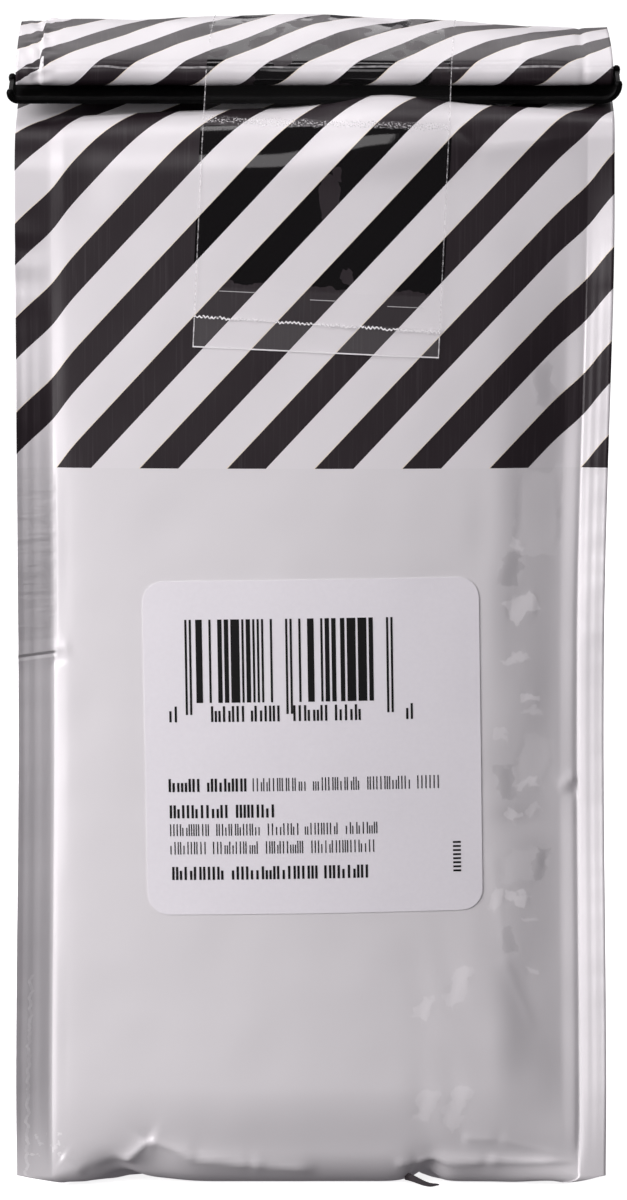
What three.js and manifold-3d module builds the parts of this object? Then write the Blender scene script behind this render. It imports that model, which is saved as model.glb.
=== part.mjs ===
// A coffee bag: a filled film bag with side gussets and a seal down each of its four corners. Its mouth is
// folded forward and rolled down over a flat tie, and a strip of clear tape holds the roll. A square label
// with round corners is stuck on the face that looks along -Y.
// Millimetres, +Z up, origin under the middle of the bag.
import * as THREE from "three";
import { mergeVertices } from "three/addons/utils/BufferGeometryUtils.js";
import Module from "manifold-3d";

// Bag body
const HALF_PANEL = 39.6; // from the middle of a face to the root of its corner seal
const SEAL_WIDTH = 4.6;
const SEAL_THICKNESS = 0.9;
const HALF_DEPTH = 27.2; // from the middle of the bag to the plane of the corner seals
const SHOULDER_HEIGHT = { left: 154, right: 159.2 }; // where a face starts to turn back towards the ridge
const SHOULDER_RADIUS = { left: 8.6, right: 4.4 }; // the shoulder is squarer at its right end
const SHOULDER_CHANGE = { from: -5, to: 36 };
const SHOULDER_TURN = THREE.MathUtils.degToRad(73);
const RIDGE_HEIGHT = 171.3;
const RIDGE_HALF = 1.1; // half the thickness of the film stack where the mouth leaves the ridge
const WIDER_AT_TOP = 0.018; // share by which the empty top spreads wider than the filled body
const WIDER_AT_FOOT = 0.015;
const TOP_SPREAD = { from: 82, to: 152 }; // heights between which the top widens
const FOOT_SPREAD = { from: 8, to: 75 };
const LEAN = -0.5; // the filled body sits this far off the middle of the top

// Swell of the filled faces and sides
const SEAL_STEP = 0.5; // rise of a face just inside its seal
const STEP_REACH = 2;
const BELLY_FRONT = 2.5; // further swell in the middle of a face
const BELLY_BACK = 3.1;
const BELLY_FULLNESS = 0.8; // power of the belly's outline: less than 1 is fuller towards the seals
const FOOT_RISE = 16; // the swell grows up to this height
const SLACK = { from: 92, to: 160, share: 0.5 }; // and loses this share above the contents
const HUMP_BY_TIE = { x: 7, width: 15, height: 0.25, from: 150, to: 160 }; // film pushed up before the tie
const SIDE_SWELL = 2.6;
const SIDE_RISE = { from: 2, to: 40 };
const SIDE_FALL = { from: 112, to: 158 };
const CREASE_RISE = { from: 97, to: 152 };
const GUSSET_CREASE = 3; // how far the middle of a side is drawn in before the shoulder
const BOTTOM_TUCK = 7; // how far the foot of a gusset is folded in
const BOTTOM_TUCK_HEIGHT = 24;
const GUSSET_FOLD = 0.85; // share of its half width that a gusset folds in under the gable
const GUSSET_CLOSES = 0.8; // share of the gable above which the fold is lost in the film stack
const BASE_RADIUS = 6; // turn of a face into the base, at its middle
const BASE_CORNER_RADIUS = 1.4;
const BASE_EVENNESS = 4; // power of the change from the one to the other
const SEAL_AT_FLOOR = 0.06; // share of a seal's width that is left where it meets the floor
const SEAL_TAPER = 3;
const SIDE_RADIUS = 2.2;
const FLOOR_INSET = 5; // the flat floor starts this far inside the rounded edge

// Rolled mouth
const ROLL_HALF_WIDTH = 45;
const FILM_STACK = 0.9; // thickness of the flattened mouth
const MOUTH_Y = 0.5;
const MOUTH_ROOT = 166; // where the flattened mouth starts, inside the ridge
const ROOF_ANGLE = THREE.MathUtils.degToRad(18);
const UNDERSIDE_ANGLE = THREE.MathUtils.degToRad(17.5);
const RIDGE_BEND = 2.3;
const MOUTH_RISE = 8.5; // straight stretch from the root to the ridge bend
const ROOF_LENGTH = 19.4;
const ROOF_PIECES = 3;
const FRONT_BEND = 1.5;
const UNDERSIDE_LENGTH = 17;
const INNER_BEND = 0.65;
const INNER_LENGTH = 13;
const ROLL_STEPS = 14;
const BEND_STEPS = 8;
const INNER_BEND_STEPS = 6;
const HUMP = { x: -5, width: 17, height: 0.9 }; // the ridge stands highest here
const RIGHT_DROP = { from: 14, to: 44, height: 1.3 }; // and falls away here
const ROOF_TOP = { y: -2.6, z: 177 }; // where the roof leaves the ridge bend
const ROOF_FRONT = -22; // and where it ends
const ROOF_ARCH = 0.8;
const ROOF_SKIN = { from: -2.2, to: -0.9 }; // only what lies this close under the roof is lifted with it

// Tie
const TIE_WIDTH = 8.4;
const TIE_THICKNESS = 0.7;
const TIE_CLEARANCE = 0.35;
const TIE_LEG = { left: 2.0, right: 3.1 }; // how far its ends stand up
const TIE_BEND = 1.2; // inner radius of the bend at each end
const TIE_SLOPE = THREE.MathUtils.degToRad(18);
const TIE_FRONT = { y: -23.2, z: 164.65 };
const TIE_SEGMENTS = 5;

// Label
const LABEL_SIDE = 50.6;
const LABEL_RADIUS = 3.2;
const LABEL_CENTRE = { x: -0.2, z: 68.1 };
const LABEL_TURN = THREE.MathUtils.degToRad(0.9);
const LABEL_ROWS = 8;
const LABEL_COLUMNS = 10;
const CORNER_SHARES = [0.03, 0.3, 0.65]; // of the quarter turn at each corner

// Tape
const TAPE_WIDTH = 37;
const TAPE_LENGTH = 92;
const TAPE_TURN = THREE.MathUtils.degToRad(2.6);
const TAPE_FOOT = { x: 0.2, z: 127.5 };
const TAPE_ROWS = 62;
const TAPE_COLUMNS = 4;
const SHOULDER_LOOK = [0.25, 0.5, 0.75, 1];
const WALL_LOOK = { from: 0.64, steps: 24 }; // share of the wall, and how finely, that the tape feels for

const STICKER_GAP = 0.3; // between the face and the label
const TAPE_GAP = 0.4; // between the bag and the tape
const STICKER_THICKNESS = 0.3;

// Dents in the foot of the labelled face: where, how wide and how deep
const FOOT_DENTS = [
  { x: -24.3, z: 5.0, across: 5.5, up: 4.5, depth: 1.5 },
  { x: 17.5, z: 2.0, across: 3.0, up: 4.0, depth: 1.0 },
  { x: 30.5, z: 3.0, across: 8.0, up: 4.0, depth: 1.1 },
];

// Where the outlines of the body have their points: shares of half a face, and steps across a gusset
const FACE_STATIONS = [-1, -0.975, -0.94, -0.86, -0.74, -0.6, -0.46, -0.3, -0.14, 0,
  0.14, 0.3, 0.46, 0.6, 0.74, 0.86, 0.94, 0.975, 1];
const GUSSET_STEPS = 10;

const LIP_REACH = 0.035; // share of the gable in which the swell of the shoulder ends
const WELD = 1e-4; // points closer than this are one

const FILM_FINISH = { color: 0xd3ced2, roughness: 0.4, metalness: 0.5 };
const TIE_FINISH = { color: 0x0d0a0b, roughness: 0.45, metalness: 0 };
const LABEL_FINISH = { color: 0xdedae2, roughness: 0.8, metalness: 0 };
const TAPE_FINISH = { color: 0xf2f4f6, roughness: 0.12, metalness: 0, transparent: true, opacity: 0.3 };

const FRONT = -1;
const BACK = 1;

const wasm = await Module();
wasm.setup();

const { clamp, lerp } = THREE.MathUtils;
const smooth = (from, to, value) => THREE.MathUtils.smoothstep(value, from, to);
const hill = (distance, width) => Math.exp(-((distance / width) ** 2));

// Swell of a face out of the plane of its seals, x from its middle.
function swell(x, z, side) {
  const inside = Math.max(0, HALF_PANEL - Math.abs(x));
  const across = clamp(1 - (x / HALF_PANEL) ** 2, 0, 1);
  const step = SEAL_STEP * (1 - Math.exp(-inside / STEP_REACH));
  const upright = smooth(0, FOOT_RISE, z) * (1 - SLACK.share * smooth(SLACK.from, SLACK.to, z));
  const belly = side === FRONT ? BELLY_FRONT : BELLY_BACK;
  const plain = (step + belly * across ** BELLY_FULLNESS) * upright;
  if (side === BACK) return plain;
  const dents = FOOT_DENTS
    .map((dent) => dent.depth * hill(x - dent.x, dent.across) * hill(z - dent.z, dent.up))
    .reduce((sum, depth) => sum + depth, 0);
  const hump = HUMP_BY_TIE.height * hill(x - HUMP_BY_TIE.x, HUMP_BY_TIE.width)
    * smooth(HUMP_BY_TIE.from, HUMP_BY_TIE.to, z);
  return plain + hump - dents;
}

// Where a face starts to turn back, and how tightly.
const toTheRight = (x) => smooth(SHOULDER_CHANGE.from, SHOULDER_CHANGE.to, x);
const shoulderStart = (x) => lerp(SHOULDER_HEIGHT.left, SHOULDER_HEIGHT.right, toTheRight(x));
const shoulderRadius = (x) => lerp(SHOULDER_RADIUS.left, SHOULDER_RADIUS.right, toTheRight(x));
const baseRadius = (x) => BASE_CORNER_RADIUS
  + (BASE_RADIUS - BASE_CORNER_RADIUS) * clamp(1 - Math.abs(x / HALF_PANEL) ** BASE_EVENNESS, 0, 1);

// The plane of a face's seals at one level: outward distance y, height z, and its outward direction.
function facePath(level, x) {
  const base = baseRadius(x);
  const start = shoulderStart(x);
  const radius = shoulderRadius(x);
  if (level.zone === "floor") {
    return { y: HALF_DEPTH - base - FLOOR_INSET, z: 0, outY: 0, outZ: 0 };
  }
  if (level.zone === "base") {
    const angle = level.t * Math.PI / 2;
    return { y: HALF_DEPTH - base * (1 - Math.sin(angle)), z: base * (1 - Math.cos(angle)),
      outY: Math.sin(angle), outZ: -Math.cos(angle) };
  }
  if (level.zone === "wall") {
    return { y: HALF_DEPTH, z: lerp(base, start, level.t), outY: 1, outZ: 0 };
  }
  const turn = level.zone === "shoulder" ? level.t * SHOULDER_TURN : SHOULDER_TURN;
  const y = HALF_DEPTH - radius * (1 - Math.cos(turn));
  const z = start + radius * Math.sin(turn);
  const share = level.zone === "gable" ? level.t : 0;
  return { y: lerp(y, RIDGE_HALF, share), z: lerp(z, RIDGE_HEIGHT, share),
    outY: Math.cos(turn), outZ: Math.sin(turn) };
}

// The body sits a little off the middle, and its foot and its empty top are a little wider.
function spread(x, z) {
  const rise = smooth(TOP_SPREAD.from, TOP_SPREAD.to, z);
  const fall = 1 - smooth(FOOT_SPREAD.from, FOOT_SPREAD.to, z);
  return x * (1 + WIDER_AT_TOP * rise + WIDER_AT_FOOT * fall) + LEAN * (1 - rise);
}

// How much narrower a level near the foot is at each side, and how much of the seals' width it has.
const atFoot = (level) => level.zone === "floor" || level.zone === "base";
const narrowing = (level) => (level.zone === "floor" ? FLOOR_INSET : 0)
  + (atFoot(level) ? SIDE_RADIUS * (1 - Math.sin(level.t * Math.PI / 2)) : 0);
const sealShare = (level) => atFoot(level) ? Math.max(SEAL_AT_FLOOR, level.t ** SEAL_TAPER) : 1;

// The swell ends in a lip before the tie, which presses the gable in.
const lip = (level) => level.zone === "gable" ? 1 - smooth(0, LIP_REACH, level.t) : 1;

function facePoint(level, x, side) {
  const path = facePath(level, x);
  const out = swell(x, path.z, side) * lip(level);
  const root = (HALF_PANEL - narrowing(level)) / HALF_PANEL;
  return new THREE.Vector3(
    spread(x * root, path.z),
    side * (path.y + path.outY * out),
    path.z + path.outZ * out,
  );
}

// A point of a corner seal. Its inner skin lies one seal thickness behind the outer one.
function sealPoint(level, hand, side, share, inner) {
  const path = facePath(level, hand * HALF_PANEL);
  const x = hand * (HALF_PANEL - narrowing(level) + share * SEAL_WIDTH * sealShare(level));
  const depth = inner ? SEAL_THICKNESS : 0;
  const inY = atFoot(level) ? 1 : path.outY;
  const inZ = atFoot(level) ? 0 : path.outZ;
  return new THREE.Vector3(spread(x, path.z), side * (path.y - depth * inY), path.z - depth * inZ);
}

// How far the middle crease of a gusset is folded in at one level.
function gussetTuck(level, hand) {
  const path = facePath(level, hand * HALF_PANEL);
  const halfGap = atFoot(level) ? HALF_DEPTH : Math.min(path.y, HALF_DEPTH);
  const folded = Math.sqrt(HALF_DEPTH ** 2 - halfGap ** 2);
  const closing = level.zone === "gable" ? 1 - smooth(GUSSET_CLOSES, 1, level.t) : 1;
  const bottom = BOTTOM_TUCK * Math.max(0, 1 - path.z / BOTTOM_TUCK_HEIGHT) ** 2;
  const crease = GUSSET_CREASE * smooth(CREASE_RISE.from, CREASE_RISE.to, path.z);
  return bottom + (crease + folded * GUSSET_FOLD) * closing;
}

function gussetPoint(level, hand, s) {
  const front = sealPoint(level, hand, FRONT, 0, true);
  const back = sealPoint(level, hand, BACK, 0, true);
  const z = lerp(front.z, back.z, s);
  const bow = 4 * s * (1 - s);
  const out = SIDE_SWELL * bow * smooth(SIDE_RISE.from, SIDE_RISE.to, z)
    * (1 - smooth(SIDE_FALL.from, SIDE_FALL.to, z));
  const tuck = gussetTuck(level, hand) * (1 - Math.abs(2 * s - 1));
  return new THREE.Vector3(lerp(front.x, back.x, s) + hand * (out - tuck), lerp(front.y, back.y, s), z);
}

// One closed outline round the bag, counter-clockwise seen from above, from the front left seal.
function bodyLoop(level) {
  const faceXs = FACE_STATIONS.map((share) => share * HALF_PANEL);
  const gusset = Array.from({ length: GUSSET_STEPS - 1 }, (_, i) => (i + 1) / GUSSET_STEPS);
  return [
    sealPoint(level, -1, FRONT, 1, false),
    ...faceXs.map((x) => facePoint(level, x, FRONT)),
    sealPoint(level, 1, FRONT, 1, false),
    sealPoint(level, 1, FRONT, 1, true),
    sealPoint(level, 1, FRONT, 0, true),
    ...gusset.map((s) => gussetPoint(level, 1, s)),
    sealPoint(level, 1, BACK, 0, true),
    sealPoint(level, 1, BACK, 1, true),
    sealPoint(level, 1, BACK, 1, false),
    ...faceXs.toReversed().map((x) => facePoint(level, x, BACK)),
    sealPoint(level, -1, BACK, 1, false),
    sealPoint(level, -1, BACK, 1, true),
    sealPoint(level, -1, BACK, 0, true),
    ...gusset.toReversed().map((s) => gussetPoint(level, -1, s)),
    sealPoint(level, -1, FRONT, 0, true),
    sealPoint(level, -1, FRONT, 1, true),
  ];
}

const zone = (name, shares) => shares.map((t) => ({ zone: name, t }));
const evenly = (count, from, to) => Array.from({ length: count }, (_, i) => lerp(from, to, i / (count - 1)));

const BODY_LEVELS = [
  ...zone("floor", [0]),
  ...zone("base", [0, 0.3, 0.55, 0.8]),
  ...zone("wall", [0, 0.02, 0.04, 0.065, 0.095, 0.13, ...evenly(11, 0.18, 0.9), 0.95]),
  ...zone("shoulder", [0, 0.25, 0.5, 0.75]),
  ...zone("gable", [0, LIP_REACH, 0.18, 0.34, 0.5, 0.66, 0.8, 0.9, 1]),
];

// A mesh from flat lists of points and triangles.
function geometryOf(points, triangles) {
  const geometry = new THREE.BufferGeometry().setFromPoints(points);
  geometry.setIndex(triangles);
  geometry.computeVertexNormals();
  return geometry;
}

// A closed skin through outlines of equal length, capped at both ends.
function loft(loops) {
  const size = loops[0].length;
  const triangles = [];
  for (let k = 0; k + 1 < loops.length; k += 1) {
    for (let i = 0; i < size; i += 1) {
      const a = k * size + i;
      const b = k * size + (i + 1) % size;
      triangles.push(a, b, b + size, a, b + size, a + size);
    }
  }
  const flat = (loop) => loop.map((p) => new THREE.Vector2(p.x, p.y));
  const top = (loops.length - 1) * size;
  THREE.ShapeUtils.triangulateShape(flat(loops[0]), []).forEach(([a, b, c]) => triangles.push(a, c, b));
  THREE.ShapeUtils.triangulateShape(flat(loops.at(-1)), [])
    .forEach(([a, b, c]) => triangles.push(top + a, top + b, top + c));
  return geometryOf(loops.flat(), triangles);
}

// A closed slab between two grids of points, rows by columns, the outer one on the side the normals leave.
function slab(inner, outer) {
  const rows = inner.length;
  const columns = inner[0].length;
  const at = (layer, r, c) => (layer * rows + r) * columns + c;
  const triangles = [];
  const quad = (a, b, c, d) => triangles.push(a, b, c, a, c, d);
  for (let r = 0; r + 1 < rows; r += 1) {
    for (let c = 0; c + 1 < columns; c += 1) {
      quad(at(1, r, c), at(1, r, c + 1), at(1, r + 1, c + 1), at(1, r + 1, c));
      quad(at(0, r, c), at(0, r + 1, c), at(0, r + 1, c + 1), at(0, r, c + 1));
    }
  }
  for (let c = 0; c + 1 < columns; c += 1) {
    quad(at(0, 0, c), at(0, 0, c + 1), at(1, 0, c + 1), at(1, 0, c));
    quad(at(0, rows - 1, c + 1), at(0, rows - 1, c), at(1, rows - 1, c), at(1, rows - 1, c + 1));
  }
  for (let r = 0; r + 1 < rows; r += 1) {
    quad(at(0, r + 1, 0), at(0, r, 0), at(1, r, 0), at(1, r + 1, 0));
    quad(at(0, r, columns - 1), at(0, r + 1, columns - 1), at(1, r + 1, columns - 1), at(1, r, columns - 1));
  }
  return geometryOf([...inner.flat(), ...outer.flat()], triangles);
}

// Walks a line in the YZ plane by straight stretches and bends, and keeps its points and headings.
class Walk {
  constructor(y, z, heading) {
    this.steps = [{ y, z, heading }];
  }

  forward(length) {
    const { y, z, heading } = this.steps.at(-1);
    this.steps.push({ y: y + length * Math.cos(heading), z: z + length * Math.sin(heading), heading });
    return this;
  }

  bend(radius, angle, pieces) {
    for (let i = 0; i < pieces; i += 1) {
      const { heading } = this.steps.at(-1);
      this.forward(2 * radius * Math.sin(angle / pieces / 2));
      const last = this.steps.at(-1);
      const chord = heading + angle / pieces / 2;
      const from = this.steps.at(-2);
      last.y = from.y + 2 * radius * Math.sin(angle / pieces / 2) * Math.cos(chord);
      last.z = from.z + 2 * radius * Math.sin(angle / pieces / 2) * Math.sin(chord);
      last.heading = heading + angle / pieces;
    }
    return this;
  }

  // The line moved sideways, to its right when that is positive.
  offset(distance) {
    return this.steps.map(({ y, z, heading }) => new THREE.Vector2(
      y + distance * Math.sin(heading),
      z - distance * Math.cos(heading),
    ));
  }
}

const mouthLine = new Walk(MOUTH_Y, MOUTH_ROOT, Math.PI / 2)
  .forward(MOUTH_RISE)
  .bend(RIDGE_BEND, Math.PI / 2 + ROOF_ANGLE, BEND_STEPS)
  .forward(ROOF_LENGTH / ROOF_PIECES)
  .forward(ROOF_LENGTH / ROOF_PIECES)
  .forward(ROOF_LENGTH / ROOF_PIECES)
  .bend(FRONT_BEND, Math.PI - ROOF_ANGLE + UNDERSIDE_ANGLE, BEND_STEPS)
  .forward(UNDERSIDE_LENGTH)
  .bend(INNER_BEND, Math.PI, INNER_BEND_STEPS)
  .forward(INNER_LENGTH);

// How far the roof of the roll is lifted at one point.
function roofLift(x, y, z) {
  const roof = ROOF_TOP.z + Math.min(0, y - ROOF_TOP.y) * Math.tan(ROOF_ANGLE);
  const inSkin = smooth(ROOF_SKIN.from, ROOF_SKIN.to, z - roof);
  const along = clamp((ROOF_TOP.y - y) / (ROOF_TOP.y - ROOF_FRONT), 0, 1);
  const arch = 4 * ROOF_ARCH * along * (1 - along);
  const uneven = HUMP.height * hill(x - HUMP.x, HUMP.width)
    - RIGHT_DROP.height * smooth(RIGHT_DROP.from, RIGHT_DROP.to, x);
  return inSkin * (arch + uneven * smooth(ROOF_FRONT, ROOF_TOP.y, y));
}

// Moves every vertex of a geometry by a rule.
function reshape(geometry, rule) {
  const position = geometry.getAttribute("position");
  const point = new THREE.Vector3();
  for (let i = 0; i < position.count; i += 1) {
    rule(point.fromBufferAttribute(position, i));
    position.setXYZ(i, point.x, point.y, point.z);
  }
  return geometry;
}

function rolledMouth() {
  const outline = [...mouthLine.offset(FILM_STACK / 2), ...mouthLine.offset(-FILM_STACK / 2).reverse()];
  const geometry = new THREE.ExtrudeGeometry(new THREE.Shape(outline), {
    depth: 2 * ROLL_HALF_WIDTH, steps: ROLL_STEPS, bevelEnabled: false,
  });
  return reshape(geometry, (p) => {
    const [y, z, x] = [p.x, p.y, p.z - ROLL_HALF_WIDTH];
    p.set(x, y, z + roofLift(x, y, z));
  });
}

function solidOf(geometry) {
  const bare = new THREE.BufferGeometry().setAttribute("position", geometry.getAttribute("position"));
  bare.setIndex(geometry.getIndex());
  const merged = mergeVertices(bare, WELD);
  return new wasm.Manifold(new wasm.Mesh({
    numProp: 3,
    vertProperties: merged.getAttribute("position").array,
    triVerts: new Uint32Array(merged.getIndex().array),
  }));
}

function geometryFrom(solid) {
  const mesh = solid.getMesh();
  const geometry = new THREE.BufferGeometry();
  geometry.setAttribute("position", new THREE.BufferAttribute(new Float32Array(mesh.vertProperties), 3));
  geometry.setIndex(new THREE.BufferAttribute(new Uint32Array(mesh.triVerts), 1));
  geometry.computeVertexNormals();
  return geometry;
}

function bagGeometry() {
  const body = solidOf(loft(BODY_LEVELS.map(bodyLoop)));
  return geometryFrom(body.add(solidOf(rolledMouth())));
}

// The tie: a flat strip under the roll, its ends bent up round the ends of the roll.
function tieGeometry() {
  const inner = ROLL_HALF_WIDTH + TIE_CLEARANCE;
  const outer = inner + TIE_THICKNESS;
  const outerBend = TIE_BEND + TIE_THICKNESS;
  const centre = outer - outerBend;
  const shape = new THREE.Shape()
    .moveTo(-outer, TIE_LEG.left)
    .lineTo(-outer, outerBend)
    .absarc(-centre, outerBend, outerBend, Math.PI, 1.5 * Math.PI)
    .lineTo(centre, 0)
    .absarc(centre, outerBend, outerBend, -Math.PI / 2, 0)
    .lineTo(outer, TIE_LEG.right)
    .lineTo(inner, TIE_LEG.right)
    .lineTo(inner, outerBend)
    .absarc(centre, outerBend, TIE_BEND, 0, -Math.PI / 2, true)
    .lineTo(-centre, TIE_THICKNESS)
    .absarc(-centre, outerBend, TIE_BEND, 1.5 * Math.PI, Math.PI, true)
    .lineTo(-inner, TIE_LEG.left);
  return new THREE.ExtrudeGeometry(shape, {
    depth: TIE_WIDTH,
    bevelEnabled: false,
    curveSegments: TIE_SEGMENTS,
  });
}

// Half the label's width at a height from its middle, so that its corners come out round.
function labelHalfWidth(height) {
  const half = LABEL_SIDE / 2;
  const into = Math.max(0, Math.abs(height) - (half - LABEL_RADIUS));
  return half - LABEL_RADIUS + Math.sqrt(Math.max(0, LABEL_RADIUS ** 2 - into ** 2));
}

function labelGeometry() {
  const half = LABEL_SIDE / 2;
  const corner = CORNER_SHARES.map((t) => half - LABEL_RADIUS * (1 - Math.cos(t * Math.PI / 2)));
  const middle = evenly(LABEL_ROWS, -half + LABEL_RADIUS, half - LABEL_RADIUS);
  const heights = [...corner.map((h) => -h), ...middle, ...corner].toSorted((a, b) => a - b);
  const layer = (lift) => heights.map((height) => evenly(LABEL_COLUMNS, -1, 1).map((share) => {
    const across = share * labelHalfWidth(height);
    const x = LABEL_CENTRE.x + across * Math.cos(LABEL_TURN) - height * Math.sin(LABEL_TURN);
    const z = LABEL_CENTRE.z + height * Math.cos(LABEL_TURN) + across * Math.sin(LABEL_TURN);
    return new THREE.Vector3(x, -HALF_DEPTH - swell(x - LEAN, z, FRONT) - lift, z);
  }));
  return slab(layer(STICKER_GAP), layer(STICKER_GAP + STICKER_THICKNESS));
}

// The outer points of body and roll at one x, in the YZ plane.
function outerPoints(x) {
  const across = x / (1 + WIDER_AT_TOP);
  const levels = [
    ...zone("wall", evenly(WALL_LOOK.steps, WALL_LOOK.from, 1)),
    ...zone("shoulder", SHOULDER_LOOK),
  ];
  const face = (side) => levels.map((level) => facePoint(level, across, side))
    .map((p) => new THREE.Vector2(p.y, p.z));
  const roll = mouthLine.offset(FILM_STACK / 2)
    .map((p) => new THREE.Vector2(p.x, p.y + roofLift(x, p.x, p.y)));
  return [...face(FRONT), ...roll, ...face(BACK)];
}

// The line that a taut strip takes over such points, from the foot of the front to the back.
function tautLine(points) {
  const sorted = points.toSorted((a, b) => a.x - b.x || a.y - b.y);
  const turnsUp = (o, a, b) => a.clone().sub(o).cross(b.clone().sub(o)) >= 0;
  const hull = [];
  for (const p of sorted) {
    while (hull.length > 1 && turnsUp(hull.at(-2), hull.at(-1), p)) hull.pop();
    hull.push(p);
  }
  return hull;
}

// A point of the tape at a distance along the taut line above the tape's foot, lifted off the bag.
function tapePoint(x, along, lift) {
  const line = tautLine(outerPoints(x));
  const lengths = line.map((p, i) => i ? p.distanceTo(line[i - 1]) : 0);
  const reached = lengths.map((_, i) => lengths.slice(0, i + 1).reduce((sum, length) => sum + length, 0));
  const above = line.findIndex((p) => p.y > TAPE_FOOT.z);
  const target = reached[above] - (line[above].y - TAPE_FOOT.z) + along;
  const next = reached.findIndex((length) => length > target);
  const last = line.length - 1;
  const direction = (i) => line[i].clone().sub(line[i - 1]).normalize();
  const heading = (i) => direction(clamp(i, 1, last)).add(direction(clamp(i + 1, 1, last)));
  const share = (target - reached[next - 1]) / lengths[next];
  const point = line[next - 1].clone().lerp(line[next], share);
  const ahead = heading(next - 1).normalize().lerp(heading(next).normalize(), share).normalize();
  return new THREE.Vector3(x, point.x - ahead.y * lift, point.y + ahead.x * lift);
}

function tapeGeometry() {
  const rows = evenly(TAPE_ROWS, 0, TAPE_LENGTH);
  const columns = evenly(TAPE_COLUMNS, -TAPE_WIDTH / 2, TAPE_WIDTH / 2);
  const [cos, sin] = [Math.cos(TAPE_TURN), Math.sin(TAPE_TURN)];
  const layer = (lift) => rows.map((along) => columns.map((across) => tapePoint(
    TAPE_FOOT.x + across * cos + along * sin,
    along * cos - across * sin,
    lift,
  )));
  return slab(layer(TAPE_GAP), layer(TAPE_GAP + STICKER_THICKNESS));
}

function named(name, geometry, finish) {
  const mesh = new THREE.Mesh(geometry, new THREE.MeshStandardMaterial(finish));
  mesh.name = name;
  return mesh;
}

function tinTie() {
  const tie = named("tin_tie", tieGeometry(), TIE_FINISH);
  tie.rotation.x = Math.PI / 2 + TIE_SLOPE;
  tie.position.set(
    0,
    TIE_FRONT.y + TIE_WIDTH * Math.cos(TIE_SLOPE),
    TIE_FRONT.z + TIE_WIDTH * Math.sin(TIE_SLOPE),
  );
  return tie;
}

const coffeeBag = new THREE.Group();
coffeeBag.add(named("bag", bagGeometry(), FILM_FINISH));
coffeeBag.add(tinTie());
coffeeBag.add(named("label", labelGeometry(), LABEL_FINISH));
coffeeBag.add(named("tape", tapeGeometry(), TAPE_FINISH));

export default coffeeBag;
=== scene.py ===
"""Looks of a filled coffee bag: striped film, rolled mouth, tin tie, clear tape and a square label."""

import logging
import math
from dataclasses import dataclass, field
from enum import Enum
from typing import Any, ClassVar, Sequence

import bpy
import numpy as np
from mathutils import Matrix, Vector


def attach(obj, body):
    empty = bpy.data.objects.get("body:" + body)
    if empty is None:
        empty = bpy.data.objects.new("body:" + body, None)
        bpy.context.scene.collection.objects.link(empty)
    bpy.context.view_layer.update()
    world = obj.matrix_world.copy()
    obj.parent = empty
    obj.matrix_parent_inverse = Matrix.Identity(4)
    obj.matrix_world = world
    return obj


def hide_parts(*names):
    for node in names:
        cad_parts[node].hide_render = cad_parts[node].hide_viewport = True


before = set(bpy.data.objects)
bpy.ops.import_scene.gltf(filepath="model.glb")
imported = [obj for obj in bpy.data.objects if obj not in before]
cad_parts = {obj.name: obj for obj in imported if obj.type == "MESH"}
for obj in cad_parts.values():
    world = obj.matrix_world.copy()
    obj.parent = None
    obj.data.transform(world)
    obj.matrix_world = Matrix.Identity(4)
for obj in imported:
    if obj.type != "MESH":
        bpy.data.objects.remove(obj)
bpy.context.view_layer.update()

MM = 0.001
UV_MM = 0.01  # one millimetre of film in the units of its UV map
SAME_PLACE = 1e-6  # metres
log = logging.getLogger("coffee_bag")

Array = np.ndarray
Color = tuple[float, float, float, float]


def smooth(start: float, end: float, value: Array) -> Array:
    """Rises smoothly from 0 at start to 1 at end.

    Args:
        start: where the rise starts.
        end: where it ends, below start for a fall.
        value: where it is read.

    Returns:
        The share risen, from 0 to 1.
    """
    t = np.clip((value - start) / (end - start), 0, 1)
    return t * t * (3 - 2 * t)


@dataclass(frozen=True)
class Ramp:
    """A smooth change from 0 at its start to 1 at its end, which is below the start for a fall."""

    start: float
    end: float

    def at(self, value: Array) -> Array:
        """Returns the share risen at a value."""
        return smooth(self.start, self.end, value)


def hill(distance: Array, width: float) -> Array:
    """A round bump of height 1 that is down to 0.37 at width."""
    return np.exp(-((distance / width) ** 2))


def lerp(a: Any, b: Any, t: Any) -> Any:
    """Goes straight from a at t 0 to b at t 1."""
    return a + (b - a) * t


def turned_axes(x: Any, z: Any, degrees: float) -> tuple[Any, Any]:
    """Returns coordinates along two axes that are turned to the left by an angle."""
    cos, sin = math.cos(math.radians(degrees)), math.sin(math.radians(degrees))
    return x * cos + z * sin, z * cos - x * sin


class Side(Enum):
    """The two broad faces of the bag, by the sign of their outward Y."""

    FRONT = -1
    BACK = 1


class Zone(Enum):
    """The stretches of a face from the floor to the ridge."""

    FLOOR = 0
    BASE = 1
    WALL = 2
    SHOULDER = 3
    GABLE = 4


@dataclass(frozen=True)
class Dent:
    """A soft oval hollow, or a bump where depth is negative, on a face; millimetres and degrees."""

    x: float
    z: float
    across: float
    up: float
    depth: float
    turn: float = 0.0

    def depth_at(self, x: Array, z: Array) -> Array:
        """Returns how deep the dent is at points of the face."""
        along, aside = turned_axes(x - self.x, z - self.z, self.turn)
        return self.depth * hill(along, self.across) * hill(aside, self.up)


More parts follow.
